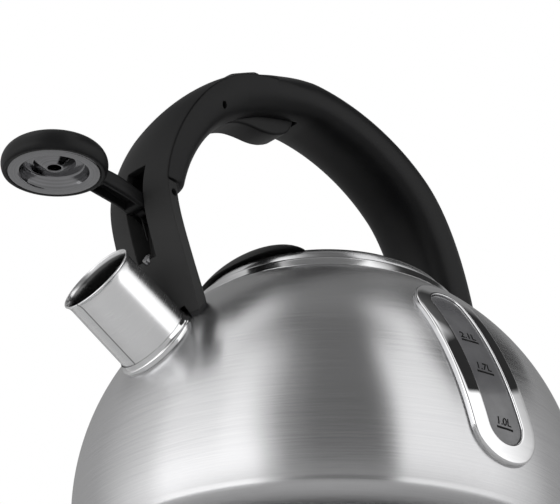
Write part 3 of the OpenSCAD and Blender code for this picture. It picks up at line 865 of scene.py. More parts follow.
@dataclass
class Spout:
    """Tilted steel tube and the flare at its foot."""

    radius: float = 15.2
    widening: float = 0.7
    wall: float = 0.9
    mouth: Point = (-118.8, 101.6)
    tilt: float = 30.8
    reach: float = 36.0
    flare: float = 17.2
    flare_height: float = 3.2
    tube_rows: tuple[float, ...] = (-24, -18, -12, -8, -4.4, -3.2)
    bore_rows: tuple[float, ...] = (-4.4, -9, -14, -20, -26)
    rim_rows: Table = ((0.15, -1.9), (0.32, -1.4), (0.5, -1.0), (0.68, -0.8), (0.8, -0.6), (0.86, -0.4),
                       (0.8, -0.2), (0.62, -0.04), (0.4, 0), (0.2, -0.08), (0.1, -0.2), (-0.2, -0.75),
                       (-0.5, -1.4), (-0.78, -2.3))
    skirt_rows: Table = ((0.05, -0.15), (0.1, 0), (0.2, 0), (0.3, -0.4), (0.42, -1.1), (0.55, -1.7),
                         (0.72, -1.88))
    body: KettleBody = field(default_factory=KettleBody)

    def place(self) -> Matrix:
        """Returns the frame at the mouth, Z along the tube."""
        turn = Matrix.Rotation(math.radians(self.tilt - 90), 4, "Y")
        return moved(self.mouth[0], 0, self.mouth[1]) @ turn

    def foot(self, r: float, angle: float) -> float:
        """Height in the tube's frame where a line along the tube meets the body."""
        start = self.place() @ (Vector((*around((0, 0), r, [angle])[0], 0)) * MM)
        way = -(self.place().to_3x3() @ Vector((0, 0, 1)))
        rel = start / MM - Vector((0, 0, self.body.middle))
        size = self.body.radius + SEAT
        b = rel.dot(way)
        inside = b * b - rel.length_squared + size * size
        return b + math.sqrt(max(0.0, inside))

    def rings(self, line: Sequence[tuple[float, Optional[float]]], steps: int) -> list[list[Place]]:
        """Turns a line whose open heights end on the body.

        Args:
            line: Radius and height, None where the ring lies on the body.
            steps: Facets around the tube.

        Returns:
            The rings.
        """
        angles = spaced(0, 360, steps)[:-1]
        return [[(*p, self.foot(r, a) if z is None else z) for a, p in zip(angles, around((0, 0), r, angles))]
                for r, z in line]

    def side(self, z: float) -> float:
        """Radius of the tube, a little wider towards the body."""
        rim, length = -3.2, 46.8
        return self.radius + self.widening * (rim - z) / length

    def tube(self) -> Piece:
        """Builds the tube with its flared rim."""
        line: list[tuple[float, Optional[float]]] = [(self.side(-self.reach), None)]
        line += [(self.side(z), z) for z in self.tube_rows]
        line += [(self.radius + wide, z) for wide, z in self.rim_rows]
        line += [(self.radius - self.wall, self.tube_rows[-1])]
        line += [(self.side(z) - self.wall, z) for z in self.bore_rows]
        line += [(self.side(-self.reach - 2) - self.wall, None)]
        return Workshop.skinned("spout_pipe", self.rings(line, 144), looped=True, place=self.place())

    def skirt(self) -> Piece:
        """Builds the polished flare at the foot."""
        r, round_, top = self.radius + self.widening, 0.8, self.flare_height - self.reach
        line: list[tuple[float, Optional[float]]] = [(r + SEAT, None)]
        line += [(r + wide, top + z) for wide, z in self.skirt_rows]
        line += arc((self.flare - round_, 0.5 - self.reach), round_, 75, 0, 8)
        line += [(self.flare, None)]
        return Workshop.skinned("spout_skirt", self.rings(line, 144), looped=True, place=self.place())

    def build(self, dress: Dresser) -> None:
        """Builds and finishes the spout."""
        dress.piece(self.tube(), "kettle", Slot.SPOUT, "spout_tube")
        dress.piece(self.skirt(), "kettle", Slot.POLISHED, "spout_flare")


# ---- level gauge ------------------------------------------------------------


@dataclass
class LevelGauge:
    """Window strip in the side of the body, with frame and scale."""

    width: float = 29.4
    window: float = 15.6
    top: float = 44.0
    bottom: float = -6.0
    turn: float = 5.9
    lean: float = 10.4
    bow: float = 2.6
    taper: float = 0.08
    seat: float = 8.0
    glass_rise: float = 1.5
    bar: Place = (-4.6, 3.4, 0.42)
    letter_size: float = 4.3
    letter_at: Point = (-1.0, 1.3)
    print_lift: float = 0.08
    print_half: float = 0.04
    frame_rows: Table = ((0, SEAT), (0, 1.5), (-0.1, 1.85), (-0.4, 2.12), (-0.85, 2.26), (-1.5, 2.3),
                         (-4, 2.32), (-8, 2.34))
    lip_rows: Table = ((2.2, 2.36), (1.3, 2.36), (0.75, 2.3), (0.35, 2.15), (0.1, 1.9), (0, 1.6), (0, 1.0),
                       (0, 0.2), (3.2, 0.2), (3.2, -1.6))
    glass_rows: Table = ((3.2, 0.12), (0.2, 0.14), (0, 0.2), (0, 0.9), (-0.1, 1.2), (-0.5, 1.42))
    marks: tuple[tuple[float, str], ...] = ((37.6, "1.0L"), (60.1, "1.7L"), (74.2, "2.1L"))
    body: KettleBody = field(default_factory=KettleBody)

    @property
    def half(self) -> float:
        """Half the strip's length."""
        return self.body.radius * math.sin(math.radians((self.top - self.bottom) / 2))

    def place(self) -> Matrix:
        """Returns the frame in the body's middle, Z out through the strip."""
        middle = (self.top + self.bottom) / 2
        return (
            moved(0, 0, self.body.middle)
            @ Matrix.Rotation(math.radians(-self.turn), 4, "Z")
            @ Matrix.Rotation(math.radians(90 - middle), 4, "X")
            @ Matrix.Rotation(math.radians(self.lean), 4, "Z")
        )

    def outline(self, width: float) -> list[Point]:
        """Bar with round ends, bowed and narrowed towards the top."""
        w = width / 2
        h = self.half - (self.width - width) / 2 - w
        up = spaced(-h, h, 30)
        line = [(w, y) for y in up] + arc((0, h), w, 0, 180, 24)[1:-1]
        line += [(-w, -y) for y in up] + arc((0, -h), w, 180, 360, 24)[1:-1]
        return [self.bowed(p) for p in line]

    def bowed(self, p: Point) -> Point:
        """Bends and narrows a point of the straight strip."""
        t = p[1] / self.half
        return p[0] * (1 - self.taper * t) + self.bow * t * t, p[1]

    def layers(self, section: Table) -> list[list[Place]]:
        """Lays the strip's outline over the body once for each width and rise."""
        rings = []
        for width, rise in section:
            size = self.body.radius + rise
            rings.append([(x, y, math.sqrt(size * size - x * x - y * y)) for x, y in self.outline(width)])
        return rings

    def prism(self, name: str, width: float, low: float, high: float) -> Piece:
        """Builds a straight prism of the strip's outline."""
        line = self.outline(width)
        return Workshop.skinned(name, [[(x, y, z) for x, y in line] for z in (low, high)], place=self.place())

    def frame(self) -> Piece:
        """Builds the polished frame as one smooth moulding."""
        w, glass = self.width, self.window
        section = [(w + x, z) for x, z in self.frame_rows] + [(glass + x, z) for x, z in self.lip_rows]
        section += [(w - 8.4, -1.6), (w - 8.4, SEAT)]
        rings = self.layers(section)
        return Workshop.skinned("gauge_surround", rings, looped=True, place=self.place(), crease=50)

    def glass(self) -> Piece:
        """Builds the window with a soft domed face."""
        w, low, high = self.window - 2 * SEAT, -2.4, self.glass_rise
        section = [(w * k, low) for k in (0.3, 0.65, 1.0)] + [(w + 3.2, low)]
        section += [(w + x, z) for x, z in self.glass_rows] + [(w - 1.2, high)]
        section += [(w * k, high) for k in (0.75, 0.5, 0.25)]
        return Workshop.skinned("gauge_window", self.layers(section), place=self.place(), crease=50, tip=42)

    def to_strip(self, point: Vector) -> Vector:
        """Turns a point of the row frame, in millimetres, into the strip's frame."""
        return (self.place().inverted() @ (point * MM)) / MM

    def mark_middle(self, height: float) -> tuple[Vector, Vector]:
        """Finds where a level line crosses the strip's middle.

        Args:
            height: Level above the base.

        Returns:
            The crossing in the strip's frame and the level direction there.
        """
        size = self.body.radius + self.glass_rise
        level = math.sqrt(size * size - (height - self.body.middle) ** 2)
        best: tuple[float, Vector, Vector] = (1e9, Vector(), Vector())
        for tenths in range(-400, 401):
            a = -90 - self.turn + tenths * 0.1
            p, q = (self.to_strip(Vector((*at, height))) for at in around((0, 0), level, (a, a + 1)))
            miss = abs(p.x - self.bowed((0.0, p.y))[0])
            if p.z > 0 and miss < best[0]:
                best = (miss, p, (q - p).normalized())
        return best[1], best[2]

    def scale(self) -> Piece:
        """Builds the level lines and their numbers in litres."""
        points: list[Place] = []
        faces: list[list[int]] = []
        size = self.body.radius + self.glass_rise + self.print_lift
        (left, end, thick), deep = self.bar, self.print_half
        bar = [Vector((x, y, z)) for z in (-deep, deep) for x, y in block((left, -thick), (end, thick))]
        sides = [[3, 2, 1, 0], [4, 5, 6, 7]] + [[i, (i + 1) % 4, (i + 1) % 4 + 4, i + 4] for i in range(4)]
        for height, words in self.marks:
            middle, right = self.mark_middle(height)
            up = middle.normalized().cross(right).normalized()
            for flat, cells in ((bar, sides), self.letters(words)):
                first = len(points)
                for p in flat:
                    way = (middle + right * p.x + up * p.y).normalized()
                    points.append(tuple(way * (size + p.z)))
                faces += [[first + i for i in cell] for cell in cells]
        return Workshop.solid("gauge_scale", points, faces, self.place())

    def letters(self, words: str) -> tuple[list[Vector], list[list[int]]]:
        """Makes the shapes of a short text as closed solids.

        Args:
            words: The text.

        Returns:
            Corner points and the faces' corner numbers.
        """
        curve = bpy.data.curves.new("words", "FONT")
        curve.body, curve.size, curve.align_x = words, self.letter_size, "CENTER"
        curve.offset, curve.extrude = 0.01 * self.letter_size, self.print_half
        holder = bpy.data.objects.new("words", curve)
        bpy.context.scene.collection.objects.link(holder)
        bpy.context.view_layer.update()
        graph = bpy.context.evaluated_depsgraph_get()
        mesh = bpy.data.meshes.new_from_object(holder.evaluated_get(graph))
        points = [v.co + Vector((*self.letter_at, 0)) for v in mesh.vertices]
        cells = [list(p.vertices) for p in mesh.polygons]
        bpy.data.objects.remove(holder)
        bpy.data.meshes.remove(mesh)
        bpy.data.curves.remove(curve)
        return points, cells

    def build(self, dress: Dresser) -> None:
        """Builds and finishes the gauge."""
        dress.piece(Workshop.grounded(self.frame()), "kettle", Slot.POLISHED, "gauge_frame")
        dress.piece(Workshop.grounded(self.glass()), "kettle", Slot.GLASS, "gauge_glass")
        dress.piece(Workshop.grounded(self.scale()), "kettle", Slot.PRINT, "gauge_marks")
        dress.nodes(Slot.SEAL, "gauge_gasket")
        dress.nodes(Slot.PLAIN, "gauge_clamp", "gauge_screws")


# ---- lid --------------------------------------------------------------------


@dataclass
class Lid:
    """Steel lid band with its black cover and lift tab."""

    radius: float = 51.4
    edge: float = 47.6
    dome: float = 3.0
    skirt: float = 46.8
    skirt_depth: float = 10.0
    seam_rise: float = 5.9
    shoulder: float = 4.2
    screw_way: float = 1.75
    tab: Place = (-40.0, 0.0, 118.4)
    tab_size: Place = (13.0, 37.0, 18.3)
    body: KettleBody = field(default_factory=KettleBody)

    @property
    def seam(self) -> float:
        """Height of the seam between band and cover."""
        return self.body.ring_top + self.seam_rise

    def band(self) -> Piece:
        """Builds the steel band with its collar."""
        z, foot, r, inner = self.seam, self.body.ledge, self.radius, self.skirt - 1
        line = [(self.screw_way, z - 1), (self.edge - 1, z - 1), (self.edge - 0.4, z - 0.1)]
        line += arc((r - self.shoulder, z - self.shoulder - 0.1), self.shoulder, 84, 0, 14)
        line += [(r, foot + 0.3), (self.skirt, foot + 0.3), (self.skirt, foot - self.skirt_depth)]
        line += [(inner, foot - self.skirt_depth), (inner, z - 2), (self.screw_way, z - 2)]
        return Workshop.turned("lid_band", eased(line, 0.25), steps=256)

    def cover(self) -> Piece:
        """Builds the black cover with the lift tab on it."""
        z = self.seam
        line = [(0, z - 1 + SEAT), (self.edge - 1.4, z - 1 + SEAT), (self.edge - 0.3, z + 0.05)]
        line += [(self.edge, z + 0.4)]
        for r in spaced(self.edge - 0.4, 0, 20):
            line.append((r, z + 0.9 + self.dome * (1 - (r / self.edge) ** 2)))
        cover = Workshop.turned("lid_top", eased(line, 0.35), steps=192)
        floor = Workshop.plate("floor", block((-70, z - 60), (0, z + 0.15)), 100)
        Workshop.merge(cover, Workshop.cut(self.lump(), floor))
        return Workshop.cut(cover, Workshop.plug("hole", 1.6, z - 2, z + 2.2))

    def lump(self) -> Piece:
        """Builds the tab's ellipsoid."""
        lump = Workshop.turned("tab", arc((0, 0), 1.0, -90, 90, 72), steps=128)
        lump.data.transform(moved(*self.tab) @ Matrix.Diagonal((*self.tab_size, 1)))
        return lump

    def build(self, dress: Dresser) -> None:
        """Builds and finishes the lid."""
        dress.piece(self.band(), "lid", Slot.BRUSHED, "lid_shell")
        dress.piece(self.cover(), "lid", Slot.PLASTIC, "lid_cover")
        dress.nodes(Slot.SEAL, "lid_gasket")
        dress.nodes(Slot.PLAIN, "lid_screw")


# ---- handle -----------------------------------------------------------------


@dataclass
class HandleLine:
    """The line that the handle follows, from the front foot to the rear foot."""

    arcs: tuple = (
        ((-82.4, 92.1), (-88.5, 114.0), (-99.2, 132.0), (-98.5, 147.0)),
        ((-98.5, 147.0), (-97.4, 166.0), (-82.6, 195.6), (-59.3, 207.8)),
        ((-59.3, 207.8), (-46.6, 213.6), (-27.0, 214.2), (-12.0, 213.0)),
        ((-12.0, 213.0), (8.0, 211.4), (28.4, 203.9), (43.5, 190.3)),
        ((43.5, 190.3), (56.2, 178.9), (63.8, 156.8), (67.6, 140.0)),
        ((67.6, 140.0), (70.1, 129.0), (72.1, 114.0), (73.1, 100.0)),
    )

    def split(self, u: float) -> tuple[tuple, float]:
        """Returns the arc at a station and the share of it that has passed."""
        i = max(0, min(len(self.arcs) - 1, math.floor(u)))
        return self.arcs[i], u - i

    def point(self, u: float) -> Vector:
        """Returns the line's point at a station."""
        p, t = self.split(u)
        a, b, c, d = (Vector(q) for q in p)
        return a * (1 - t) ** 3 + b * 3 * t * (1 - t) ** 2 + c * 3 * t * t * (1 - t) + d * t ** 3

    def out(self, u: float) -> Vector:
        """Returns the direction away from the finger gap."""
        p, t = self.split(u)
        a, b, c, d = (Vector(q) for q in p)
        way = (b - a) * (1 - t) ** 2 + (c - b) * 2 * t * (1 - t) + (d - c) * t * t
        way.normalize()
        return Vector((-way.y, way.x))


@dataclass
class Handle:
    """Front strut, grip, thumb rest and the fixings of the arched handle."""

    line: HandleLine = field(default_factory=HandleLine)
    body: KettleBody = field(default_factory=KettleBody)
    spout: Spout = field(default_factory=Spout)
    notch: float = 0.955
    cover_end: float = 2.45
    foot: float = -0.16
    end: float = 6.112
    step: float = 0.01
    skin: float = 0.02
    notch_ease: float = 1.2
    pad: float = 1.5
    arm: float = 10.4
    gap: float = 0.4
    trigger_width: float = 13.0
    widths: Table = ((0, 18.5), (1.6, 18.5), (2, 16.9), (3, 16.5), (5, 16.5), (6, 17.5))
    rises: Table = ((0, 2.8), (1.2, 2.8), (1.5, 2.4), (1.8, 2.4), (2.1, 3.0),
                    (2.5, 7.4), (2.8, 10.8), (3, 11.6), (4, 12.2))
    depths: Table = ((0.95, 12), (1.04, 14.4), (1.3, 15.1), (1.6, 15.7), (2, 16.6), (2.5, 13.4), (3, 9.8),
                     (4, 11.3))
    strut_depths: Table = ((-0.2, 13.4), (0.3, 9.9), (0.92, 9.4))
    strut_screw: Point = (-93.2, 117.6)
    strut_screw_way: Point = (0.93, -0.37)
    rear_screw: Point = (60.5, 118.0)
    channel: Table = ((-95.2, 134), (-88.4, 134), (-87.2, 146), (-75.8, 181), (-75.8, 187), (-84.0, 187),
                      (-92.6, 146.8))
    pocket: Table = ((-85.6, 179.5), (-85.4, 187), (-80.6, 192.6), (-70, 199.6), (-56, 205.2), (-40, 207.6),
                     (-30, 208.0), (-20.4, 208.2), (-20.0, 190), (-60, 165), (-76, 170), (-80, 178))
    front_room: Table = ((-84.65, 122.65), (-81.75, 123.45), (-69.5, 96), (-72.0, 96), (-80.2, 113))
    rear_room: Table = ((69.95, 126.25), (73.25, 126.25), (75.45, 98), (71.95, 98))
    room_width: float = 12.6

    def width(self, u: float) -> float:
        """Half the handle's width at a station."""
        return between(self.widths, u)

    def rise(self, u: float) -> float:
        """How far the outer side stands out from the line."""
        return between(self.rises, u)

    def depth(self, u: float) -> float:
        """How far the grip reaches inward from the line."""
        return between(self.depths, u)

    def outer(self, u: float, share: float, up: Optional[float] = None) -> float:
        """Height of the outer side at a share of the half width."""
        k = between(((2, 0), (2.9, 1)), u)
        a = 2 + 0.3 * k
        b = 1 + (1 / a - 1) * k
        return (self.rise(u) if up is None else up) * max(0.0, 1 - abs(share) ** a) ** b

    def laid(self, u: float, flat: Table) -> list[Place]:
        """Lays points, by their way across and out, over the line at a station."""
        p, n = self.line.point(u), self.line.out(u)
        return [(p.x + n.x * q, y, p.y + n.y * q) for y, q in flat]

    def section(self, u: float, up: Optional[float], down: float) -> list[Place]:
        """Makes one cross section.

        Args:
            u: Station on the line.
            up: Outer rise, None for the handle's own.
            down: Inner depth.

        Returns:
            The ring of points.
        """
        w, power = self.width(u), 2.8
        shares = [c for c, _ in arc((0, 0), 1, 0, 180, 36)]
        flat = [(w * c, self.outer(u, c, up)) for c in shares]
        flat += [(-w * c, -down * (1 - abs(c) ** power) ** (1 / power)) for c in shares[1:-1]]
        return self.laid(u, flat)

    def ball(self) -> Piece:
        """Builds the ball that the feet and their pads stand on."""
        size = self.body.radius + self.pad + SEAT
        return Workshop.turned("ball", arc((0, self.body.middle), size, -90, 90, 90), steps=180)

    def slot_room(self) -> Piece:
        """Builds the pocket for the cap arm."""
        outline = [(-120, 116.6), (self.line.point(0.42).x - 3, 116.6), (-87.2, 122), (-88.8, 130),
                   (-89.3, 141), (-89.0, 155.2), (-120, 155.2)]
        return Workshop.plate("slot", outline, self.arm + 2 * self.gap)

    def rod_room(self) -> Piece:
        """Builds the channel for the push rod."""
        return Workshop.plate("channel", self.channel, 5)

    def trigger_room(self) -> Piece:
        """Builds the pocket for the trigger."""
        return Workshop.plate("pocket", self.pocket, self.trigger_width + 2 * self.gap)

    def strut_fixing(self) -> list[Piece]:
        """Builds the screw seat in the slot and the bracket's room."""
        (x, z), (dx, dz) = self.strut_screw, self.strut_screw_way
        return [
            Workshop.rod("seat", (x - 8, 0, z + 3.2), (x + 0.9, 0, z - 0.36), 2.3),
            Workshop.rod("way", (x, 0, z), (x + dx * 14, 0, z + dz * 14), 1.75),
            Workshop.plate("room", self.front_room, self.room_width),
        ]

    def rear_fixing(self) -> list[Piece]:
        """Builds the rear screw's seat and the bracket's room."""
        x, z = self.rear_screw
        return [
            Workshop.plate("room", self.rear_room, self.room_width),
            Workshop.rod("seat", (x - 12, 0, z), (x + 3.2, 0, z), 3.0),
            Workshop.rod("way", (x, 0, z), (x + 16.5, 0, z), 1.75),
        ]

    def spout_room(self) -> list[Piece]:
        """Builds the spout's room in the strut's foot."""
        s, g = self.spout, self.gap
        wide = -s.reach + s.flare_height + 0.8
        return [
            Workshop.plug("tube", s.radius + g, -70, 30, s.place(), 128),
            Workshop.plug("skirt", s.flare + g, -70, wide, s.place(), 128),
        ]

    def strut(self) -> Piece:
        """Builds the front strut with the cover over the grip."""
        rings = [self.section(u, None, between(self.strut_depths, u))
                 for u in spaced(self.foot, self.notch - 2 * self.step, 40)]
        rings += [self.section(u, None, self.skin)
                  for u in spaced(self.notch - self.step, self.cover_end, 70)]
        strut = Workshop.skinned("strut_moulding", rings)
        tools = [self.ball(), self.slot_room(),
                 Workshop.pin("hole", joint_at("cap_hinge"), PIN_SEAT, 60), self.rod_room()]
        tools.append(Workshop.pin("eye", (-80.1, 186.4), 2.75, self.trigger_width + 2 * self.gap))
        tools += self.strut_fixing() + self.spout_room()
        return Workshop.cut(strut, *tools)

    def grip(self) -> Piece:
        """Builds the grip."""
        covered = [self.notch + k * self.step for k in (1, 3, 5)]
        covered += spaced(self.notch + 7 * self.step, self.cover_end, 60)
        rings = []
        for u in covered:
            ease = self.notch_ease * max(0.0, 1 - (u - covered[0]) / (5 * self.step)) ** 2
            rings.append(self.section(u, -SEAT, self.depth(u) - ease))
        rings += [self.section(u, None, self.depth(u))
                  for u in spaced(self.cover_end + 0.012, self.end, 120)]
        grip = Workshop.skinned("grip_moulding", rings)
        tools = [self.ball()]
        tools += [self.trigger_room(), self.rod_room(), self.slot_room(),
                  Workshop.pin("hole", joint_at("trigger_hinge"), PIN_SEAT, 60)] + self.rear_fixing()
        return Workshop.cut(grip, *tools)

    def thumb(self) -> Piece:
        """Builds the soft thumb rest."""
        rings, half = [], 7.2
        shares = [c for c, _ in arc((0, 0), 1, 0, 180, 24)]
        for t in spaced(0, 1, 32):
            u = 2.08 + 0.34 * t
            high = 0.3 + between(((0, 0), (0.25, 1.9), (0.9, 1.9), (0.97, 1.2), (1, 0)), t)
            low = [(half * c, self.outer(u, half * c / self.width(u))) for c in shares]
            flat = [(y, q + 0.15 + high * max(0.0, 1 - c ** 4) ** 0.5) for (y, q), c in zip(low, shares)]
            rings.append(self.laid(u, flat + [(-y, q + 0.1) for y, q in low]))
        return Workshop.skinned("thumb_rest", rings, crease=50)

    def build(self, dress: Dresser) -> None:
        """Builds and finishes the handle."""
        dress.piece(self.strut(), "kettle", Slot.STRUT, "front_strut")
        dress.piece(self.grip(), "kettle", Slot.PLASTIC, "handle_grip")
        dress.piece(self.thumb(), "kettle", Slot.PAD, "thumb_pad")
        dress.nodes(Slot.SEAL, "front_pad", "rear_pad")
        dress.nodes(Slot.PLAIN, "rear_bracket", "handle_screws")
        # Painted shade: the bracket, pins and spring in the slot get near-black steel in place of the shade
        # there.
        dress.nodes(Slot.SHADED, "front_bracket", "trigger_pin", "arm_pin", "arm_spring")


# ---- trigger and rod --------------------------------------------------------


@dataclass
class Trigger:
    """Finger lever under the grip, and the rod that it pulls."""

    width: float = 13.0
    rod_end: Point = (-78.0, 182.2)
    tip: float = 2.4
    low: Table = ((-77.4, 180.0), (-73, 182.4), (-68, 184.9), (-63, 187.2), (-58.1, 189.4), (-54.3, 191.1),
                  (-50.2, 192.2), (-45, 192.6), (-38, 192.5), (-33.4, 193.1), (-30.1, 194.2), (-26.6, 196.0),
                  (-24, 198.6), (-22.4, 202.0))
    high: Table = ((-22.2, 205.6), (-30, 205.9), (-44, 204.2), (-58, 200.4), (-70, 194.6), (-75.2, 187.6),
                   (-78, 184.6))

    def lever(self) -> Piece:
        """Builds the lever with its rounded edges."""
        outline = flowing(self.low) + flowing(self.high)
        outline += around(self.rod_end, self.tip, range(110, 251, 20))
        lever = Workshop.plate("trigger_lever", outline, self.width, 1.1, 5)
        fork = Workshop.plate("fork", block((-90, 172), (-74.4, 195)), 3.2)
        return Workshop.cut(lever, Workshop.pin("hole", joint_at("trigger_hinge"), PIN_RUN, 60), fork)

    def build(self, dress: Dresser) -> None:
        """Builds and finishes the trigger."""
        dress.piece(self.lever(), "trigger", Slot.PLASTIC, "trigger")
        # Painted shade: the push rod gets near-black steel in place of the shade in its channel.
        dress.nodes(Slot.SHADED, "push_rod")


# ---- spout cap --------------------------------------------------------------


@dataclass
class SpoutCap:
    """Whistling cap on its arm."""

    middle: Point = (-140.0, 139.8)
    cover: float = 20.8
    whistle: float = 18.1
    arm: float = 10.4
    tail: float = 3.6
    hub: float = 3.8
    tail_radius: float = 2.3
    rim: float = 7.0
    rim_height: float = 3.7
    crown: Table = ((11, 10.98), (9, 11.3), (6.5, 11.6), (4, 11.8), (0, 12))
    holes: float = 6.0
    coils: float = 3.35
    coil_width: float = 2.4
    fork_width: float = 3.0
    arm_top: Table = ((-121.5, 147.6), (-112.2, 146.6), (-100.9, 143.3))
    arm_low: Table = ((-100.9, 137.0), (-107.3, 139.0), (-121.5, 141.4))
    under: Table = ((-119, 144.6), (-112.2, 143.8), (-102.5, 141.0), (-102.5, 130), (-119, 130))
    sweep: Table = ((-1.3, 0.4), (1.5, 12), (9.9, 9.9), (12, 1.7), (0.4, -1.4))

    def place(self) -> Matrix:
        """Returns the cap's own frame."""
        return moved(self.middle[0], 0, self.middle[1])

    def rim_line(self, grow: float) -> list[Point]:
        """Outer line of the cover, from the rim to the top."""
        line = arc((self.cover - self.rim, self.rim_height), self.rim + grow, -29, 84, 40)
        return line + [(r, z + grow) for r, z in self.crown]

    def hood(self) -> Piece:
        """Builds the black cover with its steam holes."""
        w = self.whistle
        line = [(0, 8.2), (w - 3, 8.2), (w + SEAT, 5.6), (w + SEAT, 0.1), (19.55, 0.1)]
        hood = Workshop.turned("cap_hood", eased(line + self.rim_line(0), 0.25), self.place(), 192)
        holes = [self.place() @ moved(x, y, 4) for x, y in around((0, 0), self.holes, (60, 180, 300))]
        return Workshop.cut(hood, *(Workshop.plug("hole", 1.1, 0, 12, hole, 32) for hole in holes))

    def dish(self) -> Piece:
        """Builds the stepped whistle plate."""
        w = self.whistle
        line = [(w, 0.35), (w - 0.35, 0), (14.1, 0), (13.5, 0.35), (12.0, 4.3), (11.5, 4.65), (8.2, 4.65),
                (3.4, 2.2), (2.65, 2.3), (2.65, 2.85), (3.3, 2.85), (8.0, 5.25), (11.8, 5.25), (12.5, 4.9),
                (14.1, 0.6), (17.5, 0.6), (17.5, 5.0), (w, 5.0)]
        return Workshop.turned("whistle_dish", eased(line, 0.9, 7, 12), self.place(), 160)

    def disc(self) -> Piece:
        """Builds the whistle's second disc."""
        line = [(2.4, 6.4), (2.4, 7.0), (11.4, 7.0), (11.4, 5.3), (10.8, 5.3), (10.8, 6.4)]
        return Workshop.turned("whistle_lid", eased(line, 0.15), self.place(), 96)

    def lever(self) -> Piece:
        """Builds the arm between cap and hinge."""
        hinge = joint_at("cap_hinge")
        tail = around(hinge, self.tail, [-50])[0]
        outline = flowing(self.arm_top, 6)
        outline += around(hinge, self.hub, range(80, -1, -10))
        outline += around(tail, self.tail_radius, range(0, -121, -12))
        outline += around(hinge, self.hub, range(-115, -136, -10))
        outline += flowing(self.arm_low, 6)
        arm = Workshop.plate("cap_lever", outline, self.arm, 1.0, 4)
        fork = block((tail[0] - 3.2, tail[1] - 2.2), (tail[0] + 3.2, tail[1] + 2.2))
        sweep = [(tail[0] + x, tail[1] + z) for x, z in self.sweep]
        sector = [hinge] + around(hinge, 9, range(-56, -147, -15))
        tools = [Workshop.plate("under", self.under, self.arm - 3.6),
                 Workshop.pin("hole", hinge, PIN_RUN, 60),
                 Workshop.plate("fork", fork, self.fork_width),
                 Workshop.plate("sweep", sweep, self.fork_width)]
        for side in (-self.coils, self.coils):
            notch = Workshop.plate("notch", sector, self.coil_width)
            notch.data.transform(moved(0, side, 0))
            tools += [Workshop.pin("coil", hinge, 3.1, self.coil_width, side), notch]
        blank = [(0, -5), (19.6, -5), (19.6, 0.3)] + self.rim_line(SEAT)
        tools.append(Workshop.turned("blank", blank, self.place(), 192))
        Workshop.cut(arm, *tools)
        return Workshop.merge(arm, Workshop.pin("tail_pin", tail, 0.75, self.arm - 3))

    def build(self, dress: Dresser) -> None:
        """Builds and finishes the cap."""
        dress.piece(self.hood(), "cap", Slot.PLASTIC, "cap_cover")
        dress.piece(self.lever(), "cap", Slot.PLASTIC, "cap_arm")
        dress.piece(self.dish(), "cap", Slot.WHISTLE, "whistle_plate")
        dress.piece(self.disc(), "cap", Slot.PLAIN, "whistle_disc")


# ---- studio -----------------------------------------------------------------


